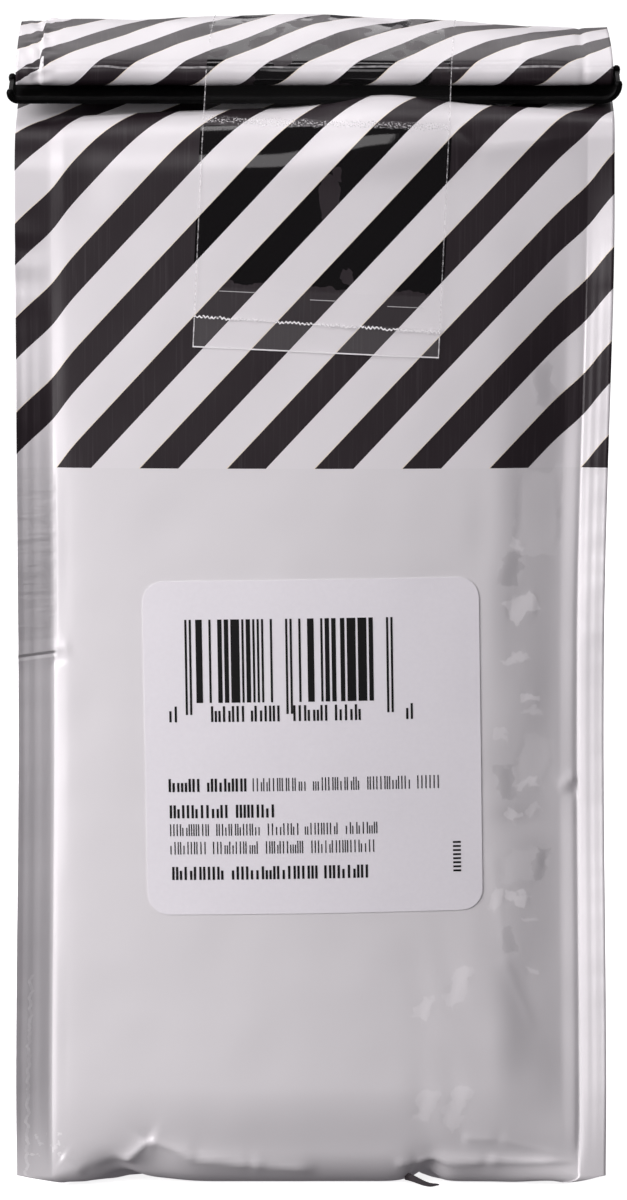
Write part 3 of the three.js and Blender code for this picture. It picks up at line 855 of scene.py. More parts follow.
@dataclass
class FilmBag:
    """The film of the bag: the filled body and the rolled mouth."""

    shape: FilmShape
    roll: RollShape
    rows: dict[Zone, int] = field(
        default_factory=lambda: {
            Zone.FLOOR: 2, Zone.BASE: 14, Zone.WALL: 196, Zone.SHOULDER: 16, Zone.GABLE: 26,
        }
    )
    face_columns: int = 168
    back_columns: int = 52
    gusset_columns: int = 42
    roll_columns: int = 150
    fold_shift: float = 2.6
    fold_columns: tuple[float, ...] = (-0.3, -0.15, 0.15, 0.3)  # added on both sides of the roll's left fold
    roll_evenness: float = 0.35
    print_wander: Ripples = Ripples(87, 30, 0.5)
    seal_columns: tuple[int, int] = (15, 7)  # of a seal's outer and inner skin
    seal_closer: float = 1.5  # power that draws the outer skin's columns towards the root
    flap_start: tuple[float, float, float] = (13.8, -24.4, 1.1)
    flap_run: tuple[float, float] = (5.2, -2.8)
    flap_fall: tuple[float, Ramp] = (-0.85, Ramp(0, 0.75))
    flap_hook: tuple[float, Ramp] = (0.2, Ramp(0.75, 1))
    flap_width: tuple[float, float] = (1.1, 0.16)  # what tapers off along it, and what stays
    flap_power: float = 0.7
    flap_low: float = 0.3  # share of its width that lies below its middle line
    flap_thickness: float = 0.14
    white_spot: tuple[float, float] = (-0.37, 0.0)
    # one place in a black stripe; the whole flap under the foot takes its dark colour
    dark_spot: tuple[float, float] = (-14.0, 120.0)

    def body(self) -> bpy.types.Object:
        """Returns the filled body as one closed piece."""
        shape, rows = self.shape, Rows.spread(self.rows)
        half, seal, deep = shape.half_panel, shape.seal_width, 2 * shape.half_depth
        parts: list[tuple[tuple[Array, Array], Array]] = []
        at = -half - seal

        def add(made: tuple[Array, Array], columns: Array, width: float) -> None:
            """Adds a stretch of columns that covers a width of film."""
            nonlocal at
            parts.append((made, at + columns * width))
            at += width

        outer, inner = (np.linspace(0, 1, count)[None] for count in self.seal_columns)
        outer = outer**self.seal_closer
        gusset = eased(self.gusset_columns)[None]
        front, back = eased(self.face_columns)[None], eased(self.back_columns)[None]
        add(shape.seal(rows, -1, Side.FRONT, 1 - outer[:, :-1], False), outer[0, :-1], seal)
        add(shape.face(rows, (2 * front - 1) * half, Side.FRONT), front[0], 2 * half)
        add(shape.seal(rows, 1, Side.FRONT, outer[:, 1:], False), outer[0, 1:], seal)
        add(shape.seal(rows, 1, Side.FRONT, 1 - inner, True), inner[0], seal)
        add(shape.gusset(rows, 1, gusset[:, 1:-1]), gusset[0, 1:-1], deep)
        add(shape.seal(rows, 1, Side.BACK, inner, True), inner[0], seal)
        add(shape.seal(rows, 1, Side.BACK, 1 - inner[:, :-1], False), inner[0, :-1], seal)
        add(shape.face(rows, (1 - 2 * back) * half, Side.BACK), back[0], 2 * half)
        add(shape.seal(rows, -1, Side.BACK, inner[:, 1:], False), inner[0, 1:], seal)
        add(shape.seal(rows, -1, Side.BACK, 1 - inner, True), inner[0], seal)
        add(shape.gusset(rows, -1, 1 - gusset[:, 1:-1]), gusset[0, 1:-1], deep)
        add(shape.seal(rows, -1, Side.FRONT, inner, True), inner[0], seal)
        points = np.concatenate([made[0] for made, _ in parts], axis=1)
        film = np.concatenate([made[1] for made, _ in parts], axis=1)
        around = np.concatenate([columns for _, columns in parts])
        count, columns = points.shape[:2]
        u = np.broadcast_to(np.append(around, at), (count, columns + 1))
        v = np.concatenate([film, film[:, :1]], axis=1)
        faces = tube_faces(count, columns).tolist()
        uvs = tube_uvs(u, v) * UV_MM
        floor = list(range(columns))[::-1]
        ridge = [(count - 1) * columns + c for c in range(columns)]
        caps = np.zeros((2 * columns, 2))
        return mesh_object("film_body", points, [*faces, floor, ridge], np.concatenate([uvs, caps]))

    def flap(self) -> bpy.types.Object:
        """Returns the small hooked flap of film that sticks out under the foot."""
        bpy.ops.object.select_all(action="DESELECT")
        bpy.ops.mesh.primitive_grid_add(x_subdivisions=12, y_subdivisions=4, size=1)
        flap = bpy.context.object
        flap.name = "film_flap"
        (run_x, run_y), (tapering, plain) = self.flap_run, self.flap_width
        for vertex in flap.data.vertices:
            along, across = vertex.co.x + 0.5, vertex.co.y + 0.5
            up = sum(height * ramp.at(along) for height, ramp in (self.flap_fall, self.flap_hook))
            width = tapering * (1 - along) ** self.flap_power + plain
            ahead = (run_x * along, run_y * along**self.flap_power, up + (across - self.flap_low) * width)
            vertex.co = (Vector(self.flap_start) + Vector(ahead)) * MM
        thicken(flap, self.flap_thickness)
        layer = flap.data.uv_layers.active or flap.data.uv_layers.new(name="film")
        layer.name = "film"
        # every corner of the flap reads that one dark place
        spot = [c * UV_MM for c in self.dark_spot] * len(flap.data.loops)
        layer.data.foreach_set("uv", spot)
        bpy.ops.object.shade_smooth_by_angle(angle=math.radians(40))
        return flap

    def mouth(self) -> bpy.types.Object:
        """Returns the rolled mouth as one closed piece."""
        roll = self.roll
        line = roll.line()
        half = roll.film_stack / 2
        outer, inner = line.offset(half), line.offset(-half)[::-1]
        x = (2 * eased(self.roll_columns, self.roll_evenness) - 1) * roll.half_width
        x = np.sort(np.append(x, roll.left_fold + np.array(self.fold_columns)))
        lengths = np.concatenate([[0], np.cumsum(np.hypot(*np.diff(outer, axis=0).T))])
        film = np.concatenate([lengths, lengths[::-1] + 2 * roll.half_width])
        loop = np.concatenate([outer, inner])
        normal = np.concatenate([np.ones(len(outer)), -np.ones(len(inner))])
        heading = np.array(line.points)[:, 2]
        heading = np.concatenate([heading, heading[::-1]])
        grid_x, y = np.meshgrid(x, loop[:, 0], indexing="ij")
        z = np.broadcast_to(loop[:, 1], y.shape)
        out = roll.unevenness(grid_x, film[None], y, z) * (normal > 0)
        y = y + np.sin(heading) * out
        z = z - np.cos(heading) * out
        z = z + roll.lift(grid_x, y, z)
        points = np.stack([grid_x, y, z], axis=-1)
        count, columns = points.shape[:2]
        faces = tube_faces(count, columns)[:, ::-1].tolist()
        v = np.broadcast_to(np.append(film, film[-1] + roll.film_stack), (count, columns + 1))
        shifted = self.fold_shift * (grid_x[:, :1] < roll.left_fold)
        u = self.print_wander.at(grid_x[:, :1], v) - grid_x[:, :1] + shifted
        uvs = tube_uvs(u, v).reshape(-1, 4, 2)[:, ::-1].reshape(-1, 2) * UV_MM
        left = list(range(columns))
        right = [(count - 1) * columns + c for c in range(columns)][::-1]
        caps = np.tile(self.white_spot, (2 * columns, 1))
        return mesh_object("film_mouth", points, [*faces, left, right], np.concatenate([uvs, caps]))


class Signal:
    """A node's output with Python's operators, so that maths on it adds Math nodes."""

    def __init__(self, recipe: "Recipe", socket: bpy.types.NodeSocket) -> None:
        """Wraps a socket of a recipe's node tree."""
        self.recipe = recipe
        self.socket = socket

    def math(self, operation: str, *others: Any) -> "Signal":
        """Returns this value put through a Math node with others."""
        values = [self, *others]
        return self.recipe.signal("ShaderNodeMath", {"operation": operation}, dict(enumerate(values)))

    def flipped(self, operation: str, other: Any) -> "Signal":
        """Returns a Math node with the other value first."""
        return self.recipe.signal("ShaderNodeMath", {"operation": operation}, {0: other, 1: self})

    def __add__(self, other: Any) -> "Signal":
        """Adds."""
        return self.math("ADD", other)

    __radd__ = __add__

    def __mul__(self, other: Any) -> "Signal":
        """Multiplies."""
        return self.math("MULTIPLY", other)

    __rmul__ = __mul__

    def __sub__(self, other: Any) -> "Signal":
        """Subtracts."""
        return self.math("SUBTRACT", other)

    def __rsub__(self, other: Any) -> "Signal":
        """Subtracts from a number."""
        return self.flipped("SUBTRACT", other)

    def __truediv__(self, other: Any) -> "Signal":
        """Divides."""
        return self.math("DIVIDE", other)

    def __lt__(self, other: Any) -> "Signal":
        """Returns 1 where this is less."""
        return self.math("LESS_THAN", other)

    def __gt__(self, other: Any) -> "Signal":
        """Returns 1 where this is greater."""
        return self.math("GREATER_THAN", other)

    def __abs__(self) -> "Signal":
        """Drops the sign."""
        return self.math("ABSOLUTE")

    def either(self, other: "Signal") -> "Signal":
        """Returns the greater of two masks."""
        return self.math("MAXIMUM", other)

    def rise(self, start: float, end: float) -> "Signal":
        """Makes a smooth step.

        Args:
            start: where it is 0.
            end: where it is 1, below start for a fall.

        Returns:
            The step.
        """
        settings = {"interpolation_type": "SMOOTHSTEP", "clamp": True}
        inputs = {"Value": self, "From Min": min(start, end), "From Max": max(start, end)}
        stepped = self.recipe.signal("ShaderNodeMapRange", settings, inputs)
        return stepped if start < end else 1 - stepped


class Recipe:
    """Builds one material's nodes."""

    def __init__(self, name: str) -> None:
        """Makes an empty material with a Principled shader.

        Args:
            name: the material's name.
        """
        self.material = bpy.data.materials.new(name)
        self.material.use_nodes = True
        self.tree = self.material.node_tree
        self.tree.nodes.clear()
        self.output = self.tree.nodes.new("ShaderNodeOutputMaterial")
        self.shader = self.tree.nodes.new("ShaderNodeBsdfPrincipled")
        self.tree.links.new(self.shader.outputs[0], self.output.inputs["Surface"])

    def node(self, kind: str, settings: dict[str, Any] | None = None,
             inputs: dict[Any, Any] | None = None) -> bpy.types.Node:
        """Adds a node.

        Args:
            kind: its type.
            settings: its own settings, set first.
            inputs: a value or a link for each socket, by name or number.

        Returns:
            The node.
        """
        made = self.tree.nodes.new(kind)
        for key, value in (settings or {}).items():
            setattr(made, key, value)
        for key, value in (inputs or {}).items():
            self.feed(made.inputs[key], value)
        return made

    def signal(self, kind: str, settings: dict[str, Any] | None = None,
               inputs: dict[Any, Any] | None = None, output: Any = 0) -> Signal:
        """Adds a node and returns one of its outputs."""
        return Signal(self, self.node(kind, settings, inputs).outputs[output])

    def feed(self, socket: bpy.types.NodeSocket, value: Any) -> None:
        """Gives a socket its input.

        Args:
            socket: an input of a node.
            value: a signal, or a plain value.
        """
        if isinstance(value, Signal):
            self.tree.links.new(value.socket, socket)
        else:
            socket.default_value = value

    def set(self, **values: Any) -> None:
        """Sets the shader's sockets, with _ for each blank in their names."""
        for name, value in values.items():
            self.feed(self.shader.inputs[name.replace("_", " ")], value)

    def uv(self, name: str) -> tuple[Signal, Signal]:
        """Returns the two coordinates of a UV map, in millimetres of film."""
        source = self.signal("ShaderNodeUVMap", {"uv_map": name})
        parts = self.node("ShaderNodeSeparateXYZ", inputs={0: source})
        return Signal(self, parts.outputs[0]) / UV_MM, Signal(self, parts.outputs[1]) / UV_MM

    def place(self, x: Any, y: Any, z: Any = 0.0) -> Signal:
        """Returns a vector of three values."""
        return self.signal("ShaderNodeCombineXYZ", inputs={0: x, 1: y, 2: z})

    def noise(self, at: Signal, scale: float, detail: float = 3.0, roughness: float = 0.5) -> Signal:
        """Returns a noise between 0 and 1."""
        inputs = {"Vector": at, "Scale": scale, "Detail": detail, "Roughness": roughness}
        return self.signal("ShaderNodeTexNoise", inputs=inputs)

    def mix(self, share: Any, a: Any, b: Any) -> Signal:
        """Mixes two colours.

        Args:
            share: how much of b, from 0 to 1.
            a: a colour.
            b: another one.

        Returns:
            The mixed colour.
        """
        made = self.node("ShaderNodeMix", {"data_type": "RGBA"})
        sockets = [s for s in made.inputs if s.enabled]
        for socket, value in zip(sockets, (share, a, b)):
            self.feed(socket, value)
        return Signal(self, [s for s in made.outputs if s.enabled][0])

    def bump(self, height: Signal, distance: float, strength: float = 1.0,
             normal: Signal | None = None) -> Signal:
        """Returns a normal for a height.

        Args:
            height: the height.
            distance: how far a height of 1 stands out, in metres.
            strength: how much of it shows.
            normal: the normal that it starts from, or None for the mesh's own.

        Returns:
            The normal.
        """
        inputs = {"Height": height, "Distance": distance, "Strength": strength}
        if normal is not None:
            inputs["Normal"] = normal
        return self.signal("ShaderNodeBump", inputs=inputs)


@dataclass(frozen=True)
class Grain:
    """A noise over two coordinates: how fine it is along each, its scale, its detail and its own layer."""

    scale: float
    detail: float = 2.0
    layer: float = 0.0
    across: float = 1.0
    up: float = 1.0

    def read(self, r: Recipe, u: Signal, v: Any) -> Signal:
        """Returns the noise between 0 and 1 at two coordinates."""
        return r.noise(r.place(u * self.across, v * self.up, self.layer), self.scale, self.detail)


def grey(value: float, warm: float = 0.0) -> Color:
    """Returns a grey as a linear colour, slightly warm where asked."""
    return (value * (1 + warm), value, value * (1 - warm * 0.3), 1.0)


@dataclass(frozen=True)
class TapeArea:
    """Where the tape sticks to the film, in the film's own millimetres."""

    x: float = 0.2
    foot: float = 127.5
    half_width: float = 18.5
    turn: float = math.radians(2.6)
    wet_from: float = 8.4
    wet_to: float = 33.4
    wet_ragged: tuple[float, float] = (3.0, 1.6)  # unevenness of the wetted area's lower and upper edge
    roll_shift: float = 2.0


class Panel(Enum):
    """The two pieces of film."""

    BODY = "film_body"
    MOUTH = "film_mouth"


@dataclass(frozen=True)
class Band:
    """An upright stretch of film, turned to the left by an angle in degrees, and where it fades."""

    turn: float
    across: tuple[Ramp, ...]
    up: tuple[Ramp, ...]
    share: float = 1.0


@dataclass(frozen=True)
class FilmFinish:
    """Silver-white satin laminate with slanting black stripes on its upper part."""

    panel: Panel
    period: float = 13.07
    ink_share: float = 0.44
    slope: float = 1.083
    phase: float = -127.4
    roll_slope: float = 0.95
    roll_phase: float = -47.08
    roll_period: float = 12.97
    roll_fold: float = 41.3
    corner_slope: float = 0.84
    corner_low: float = 2.7
    stripes_from: float = 110.1
    silver: Color = (0.768, 0.755, 0.768, 1)
    white: Color = (0.778, 0.763, 0.778, 1)
    ink: Color = (0.017, 0.0115, 0.0145, 1)
    wet_ink: Color = (0.0012, 0.0008, 0.001, 1)
    faded_ink: Color = (0.034, 0.027, 0.031, 1)
    cream: Color = (0.85, 0.72, 0.50, 1)
    # lighter film where it is rubbed, and also the painted highlight line along the roll's front fold
    scuffed: Color = (0.9, 0.89, 0.9, 1)
    cloudy: float = 0.965  # how bright the silver stays in its faint clouds
    metal: float = 0.06
    specular: float = 0.4
    roughness: float = 0.33
    grain_roughness: float = 0.07
    ink_roughness: float = 0.03
    wet_roughness: float = 0.07
    rim_from: float = 0.985
    rim_strength: float = 0.55
    streak: Grain = Grain(1.0, 3.0, across=3.0, up=0.06)
    streak_rise: tuple[float, float] = (0.5, 0.8)
    grain: Grain = Grain(1.0, across=1.2, up=0.35)
    speck: Grain = Grain(5.0)
    cloud: Grain = Grain(0.03, layer=4.0)
    cloud_rise: tuple[float, float] = (0.3, 0.7)
    grain_height: float = 0.006
    speck_height: float = 0.004
    tape: TapeArea = TapeArea()
    dry_patches: tuple[tuple[float, float, float, float], ...] = (
        (2.2, 150.6, 1.3, 3.4), (3.4, 154.4, 0.7, 1.2), (4.9, 138.5, 0.9, 1.3), (-12.5, 141.0, 0.3, 0.5),
    )
    facets: tuple[Facet, ...] = ()
    facet_fade: float = 0.2
    facet_wander: float = 4.0
    wander: tuple[Grain, Grain] = (Grain(0.45, 4.0), Grain(0.45, 4.0, layer=8.0))
    bands: tuple[Band, ...] = (
        Band(-8.0, (Ramp(25.5, 31.0), Ramp(37.7, 36.9)), (Ramp(6.0, 22.0), Ramp(156.0, 118.0))),
        Band(5.0, (Ramp(37.2, 38.2), Ramp(39.5, 38.7)), (Ramp(4.0, 12.0), Ramp(136.0, 112.0))),
        Band(-8.0, (Ramp(-39.4, -39.7),), (Ramp(118.0, 96.0),), 0.6),
    )
    pucker: Grain = Grain(1.0, layer=6.0, across=0.16, up=0.8)
    pucker_height: float = 0.22
    pucker_zone: tuple[Ramp, Ramp] = (Ramp(80.0, 86.0), Ramp(112.0, 106.0))
    seal_from: Ramp = Ramp(-38.9, -39.6)
    seal_crease: tuple[float, float, float] = (-42.0, 81.6, 0.12)  # a point of it and its slope
    seal_crease_depth: float = 0.35
    seal_crease_width: float = 0.55
    # patches and width shared by the rubbed fold and the painted highlight line
    wear_and_highlight_patches: Grain = Grain(0.9, layer=9.0)
    wear_and_highlight_line: float = 0.16
    # painted highlight line along the roll's front fold: its place, wander, strength and grain
    front_highlight: float = 34.2
    front_highlight_wander: float = 0.6
    front_highlight_strength: float = 0.34
    front_highlight_grain: Grain = Grain(0.12, layer=5.0)
    rub_fold_from: float = 31.5
    scratch: tuple[float, float, float] = (-42.9, 0.02, 0.2)  # its place, slant and half width
    scratch_jag: tuple[float, float, float] = (0.8, 5.0, 1.6)  # its fineness, detail and reach
    scratch_top: float = 33.0
    worn_corner: tuple[float, ...] = (-43.0, -37.2, 4.6, 8.6)
    worn_specks: Grain = Grain(1.1, 4.0, layer=2.0)
    worn_share: float = 0.58

    def make(self) -> bpy.types.Material:
        """Returns the material."""
        r = Recipe(self.panel.value)
        u, v = r.uv("film")
        on_roll = self.panel is Panel.MOUTH
        slope = self.roll_slope if on_roll else self.slope
        phase = self.roll_phase if on_roll else self.phase
        period = self.roll_period if on_roll else self.period
        share = ((u - v / slope - phase) / period).math("FRACT")
        printed = self.roll_print(r, u, v) if on_roll else v > self.stripes_from
        ink = (share < self.ink_share) * printed
        rim = (share > self.rim_from) * printed
        wet = self.wet_on_roll(r, u, v) if on_roll else self.wet_on_face(r, u, v)
        grain = self.grain.read(r, u, v)
        relief = grain * self.grain_height + self.speck.read(r, u, v) * self.speck_height
        if not on_roll:
            relief = relief + self.puckers(r, u, v)
        clouded = tuple(c * self.cloudy for c in self.silver[:3]) + (1,)
        plain = r.mix(self.cloud.read(r, u, v).rise(*self.cloud_rise), self.silver, clouded)
        paper = r.mix(rim * self.rim_strength, r.mix(printed, plain, self.white), self.cream)
        black = r.mix(self.streak.read(r, u, v).rise(*self.streak_rise), self.ink, self.faded_ink)
        color = r.mix(ink, paper, r.mix(wet, black, self.wet_ink))
        rough = self.roughness + self.grain_roughness * grain + self.ink_roughness * ink
        r.set(
            # rubbed film, and on the roll a painted highlight line, take the lighter colour
            Base_Color=r.mix(self.wear_and_highlight(r, u, v), color, self.scuffed),
            Metallic=(1 - ink) * self.metal,
            Specular_IOR_Level=self.specular,
            Roughness=rough * (1 - wet * ink) + wet * ink * self.wet_roughness,
            Normal=r.bump(relief, MM, 1.0, self.crumple(r, u, v)),
        )
        return r.material

    def crumple(self, r: Recipe, u: Signal, v: Signal) -> Signal:
        """Turns the film's normal a little on each small flat patch of the crumpled zone.

        Args:
            r: the material's recipe.
            u: how far across the film.
            v: how far up it.

        Returns:
            The normal.
        """
        aside, upward = (grain.read(r, u, v) for grain in self.wander)
        x, z = u + (aside - 0.5) * self.facet_wander, v + (upward - 0.5) * self.facet_wander
        turned, fade = u * 0.0, self.facet_fade
        for facet in self.facets:
            along, aside = turned_axes(x - facet.x, z - facet.z, facet.turn)
            inside = abs(along).rise(facet.across + fade, facet.across - fade)
            inside = inside * abs(aside).rise(facet.up + fade, facet.up - fade)
            turned = turned + inside * math.sin(math.radians(facet.tilt)) / 2
        if self.facets:
            turned = turned + self.bent(u, v)
        color = r.place(0.5 - turned, 0.5, 1.0)
        return r.signal("ShaderNodeNormalMap", {"uv_map": "film"}, {"Color": color})

    def bent(self, u: Signal, v: Signal) -> Signal:
        """Turns the film down its right side, on the edge beyond and on the left seal.

        Args:
            u: how far across the film.
            v: how far up it.

        Returns:
            Half the sine of the angle.
        """
        turned = u * 0.0
        for band in self.bands:
            inside = math.sin(math.radians(band.turn)) * band.share / 2
            for place, ramps in ((u, band.across), (v, band.up)):
                for ramp in ramps:
                    inside = place.rise(ramp.start, ramp.end) * inside
            turned = turned + inside
        return turned

    def puckers(self, r: Recipe, u: Signal, v: Signal) -> Signal:
        """Makes the fine puckers and the one crisp crease of the left seal.

        Args:
            r: the material's recipe.
            u: how far across the film.
            v: how far up it.

        Returns:
            The height in millimetres.
        """
        fine = self.pucker.read(r, u, v) * self.pucker_height
        for ramp in self.pucker_zone:
            fine = fine * v.rise(ramp.start, ramp.end)
        x, z, slope = self.seal_crease
        crease = abs(v - z - (u - x) * slope).rise(self.seal_crease_width, 0.0)
        return u.rise(self.seal_from.start, self.seal_from.end) * (fine - crease * self.seal_crease_depth)

    def roll_print(self, r: Recipe, u: Signal, v: Signal) -> Signal:
        """Returns where the mouth is printed: not on the folded corner at its left end."""
        ragged = Grain(0.6).read(r, u, v)
        return 1 - (u > self.roll_fold) * (v - u * self.corner_slope + self.corner_low + ragged > 0.5)

    def wear_and_highlight(self, r: Recipe, u: Signal, v: Signal) -> Signal:
        """Rubs the film on the roll's left fold and paints a highlight line along its front fold, or rubs it
        low on the left seal.

        Args:
            r: the material's recipe.
            u: how far across the film.
            v: how far up it.

        Returns:
            How much, from 0 to 1.
        """
        strength = 0.5 + 0.5 * self.wear_and_highlight_patches.read(r, u, v).rise(0.4, 0.6)
        if self.panel is Panel.MOUTH:
            # painted highlight line along the roll's front fold, where the roof turns down
            level = v - self.front_highlight - self.front_highlight_grain.read(r, u, 0.0) * self.front_highlight_wander
            fold = (abs(u - self.roll_fold) < self.wear_and_highlight_line) * (v > self.rub_fold_from)
            return fold.either((abs(level) < self.wear_and_highlight_line) * self.front_highlight_strength) * strength
        place, slant, half = self.scratch
        fineness, detail, reach = self.scratch_jag
        jag = r.noise(r.place(v * fineness, 3.0), 1.0, detail) * reach
        line = (abs(u - place - v * slant + jag - reach / 2) < half) * (v < self.scratch_top)
        left, right, low, high = self.worn_corner
        corner = (u > left) * (u < right) * (v < high) * (v > low)
        specks = self.worn_specks.read(r, u, v) > self.worn_share
        return line.either(corner * specks) * strength

    def wet_on_face(self, r: Recipe, u: Signal, v: Signal) -> Signal:
        """Finds where the tape's glue has wetted the face, so that the ink looks deep and glossy.

        Args:
            r: the material's recipe.
            u: how far across the film.
            v: how far up it.

        Returns:
            1 there and 0 elsewhere.
        """
        cos, sin = math.cos(self.tape.turn), math.sin(self.tape.turn)
        x, along = u - self.tape.x, v - self.tape.foot
        across = x * cos - along * sin
        up = along * cos + x * sin
        ragged = Grain(0.35, 4.0).read(r, u, v)
        inside = abs(across) < self.tape.half_width
        low = up > ragged * self.tape.wet_ragged[0] + self.tape.wet_from
        high = up < ragged * self.tape.wet_ragged[1] + self.tape.wet_to
        dry = u * 0.0
        for middle, height, half_across, half_up in self.dry_patches:
            patch = abs(u - middle + (ragged - 0.5) * 2.5) < half_across
            dry = dry.either(patch * (abs(v - height + (ragged - 0.5) * 4.0) < half_up))
        return inside * low * high * (1 - dry)

    def wet_on_roll(self, r: Recipe, u: Signal, v: Signal) -> Signal:
        """Returns where the tape's glue has wetted the roll."""
        inside = abs(u + self.tape.roll_shift) < self.tape.half_width
        return inside * Grain(0.2, layer=3.0).read(r, u, v).rise(0.46, 0.5)


@dataclass(frozen=True)
class TieFinish:
    """Black plastic over the wires of the tie."""

    plain: Color = grey(0.0012)
    scuffed: Color = grey(0.004, 0.1)
    scuff_scale: float = 900.0
    scuff_rise: tuple[float, float] = (0.55, 0.75)
    scuff_height: float = 0.02
    roughness: float = 0.42
    scuff_roughness: float = 0.16
    specular: float = 0.07

    def make(self) -> bpy.types.Material:
        """Returns the material."""
        r = Recipe("tie_black")
        coords = r.signal("ShaderNodeTexCoord", output="Object")
        scuff = r.noise(coords, self.scuff_scale, 3.0)
        r.set(
            Base_Color=r.mix(scuff.rise(*self.scuff_rise), self.plain, self.scuffed),
            Roughness=self.roughness + scuff * self.scuff_roughness,
            Specular_IOR_Level=self.specular,
            Normal=r.bump(scuff, self.scuff_height * MM, 0.5),
        )
        return r.material


@dataclass(frozen=True)
class LabelFinish:
    """White sticker paper."""

    dark: Color = (0.78, 0.765, 0.80, 1)
    bright: Color = (0.83, 0.815, 0.85, 1)
    fibre_scale: float = 1600.0
    fibre_height: float = 0.01
    roughness: float = 0.55

    def make(self) -> bpy.types.Material:
        """Returns the material."""
        r = Recipe("label_paper")
        coords = r.signal("ShaderNodeTexCoord", output="Object")
        fibre = r.noise(coords, self.fibre_scale, 4.0)
        r.set(
            Base_Color=r.mix(fibre, self.dark, self.bright),
            Roughness=self.roughness,
            Normal=r.bump(fibre, self.fibre_height * MM, 0.4),
        )
        return r.material


@dataclass(frozen=True)
class PrintFinish:
    """Black print on the label."""

    full: Color = grey(0.002)
    thin: Color = grey(0.008)
    patch_scale: float = 4000.0
    roughness: float = 0.6
    specular: float = 0.2

    def make(self) -> bpy.types.Material:
        """Returns the material."""
        r = Recipe("label_print")
        coords = r.signal("ShaderNodeTexCoord", output="Object")
        patchy = r.noise(coords, self.patch_scale, 2.0)
        r.set(
            Base_Color=r.mix(patchy, self.full, self.thin),
            Roughness=self.roughness,
            Specular_IOR_Level=self.specular,
        )
        return r.material


@dataclass(frozen=True)
class TapeFinish:
    """Clear tape: nearly all see-through, with painted highlights that make it brighter along its cut edges
    and on its folded foot.
    """

    color: Color = (0.92, 0.91, 0.92, 1)
    roughness: float = 0.08
    width: float = 37.0
    edge_line: float = 0.16
    edge_strength: tuple[float, float, float] = (0.14, 0.36, 0.3)  # plain, where worn and below the tear
    foot_line: float = 0.2
    foot_strength: float = 0.85
    tear: float = 4.4
    tear_slant: float = 0.02
    tear_ragged: float = 0.7
    tear_line: float = 0.14
    tooth: float = 0.62
    tooth_height: float = 0.5
    contact: float = 35.3
    contact_ragged: float = 1.4
    contact_strength: float = 0.55
    level_line: float = 0.055
    level_strength: float = 0.5
    levels: tuple[tuple[float, float, float], ...] = (
        (8.6, -14.9, -9.5), (7.9, -1.2, 2.8), (7.45, 10.4, 15.8),
    )
    glue_from: tuple[float, float] = (9.3, 9.0)
    haze: tuple[float, float, float] = (0.004, 0.014, 0.035)  # plain, with glue and below the tear
    wear: Grain = Grain(1.3, 3.0)
    wear_rise: tuple[float, float] = (0.4, 0.62)
    tear_rise: tuple[float, float] = (0.3, 0.5)
    contact_rise: tuple[float, float] = (0.5, 0.6)
    contact_reach: tuple[float, float] = (0.75, 0.2)
    ragged: Grain = Grain(0.8, 4.0)
    fine: Grain = Grain(4.0, layer=5.0)

    def make(self) -> bpy.types.Material:
        """Returns the material."""
        r = Recipe("tape_clear")
        across, along = r.uv("tape")
        ragged, fine = self.ragged.read(r, across, along), self.fine.read(r, across, along)
        folded = along < self.tear
        plain, worn, double = self.edge_strength
        edge = plain + self.wear.read(r, across, along).rise(*self.wear_rise) * worn + folded * double
        # painted highlight along both cut edges, brighter in worn patches and where folded double below the
        # tear
        edge = (abs(across) > self.width / 2 - self.edge_line) * edge
        # painted highlight along the folded foot
        foot = (along < self.foot_line) * self.foot_strength
        saw = abs((across / self.tooth).math("FRACT") - 0.5) * self.tooth_height
        torn = along + across * self.tear_slant - self.tear + saw + (ragged - 0.5) * self.tear_ragged
        tear = (abs(torn) < self.tear_line) * fine.rise(*self.tear_rise)
        pressed = abs(along + ragged * self.contact_ragged - self.contact).rise(*self.contact_reach)
        glue = tear.either(pressed * fine.rise(*self.contact_rise) * self.contact_strength)
        for level, left, right in self.levels:
            middle, half = (left + right) / 2, (right - left) / 2
            line = (abs(along - level) < self.level_line) * (abs(across - middle) < half)
            glue = glue.either(line * self.level_strength)
        clear, glued, double = self.haze
        haze = along.rise(*self.glue_from) * glued + folded * double + clear
        alpha = (edge.either(foot).either(glue) + haze).math("MINIMUM", 1.0)
        r.set(Base_Color=self.color, Roughness=self.roughness, Alpha=alpha)
        return r.material


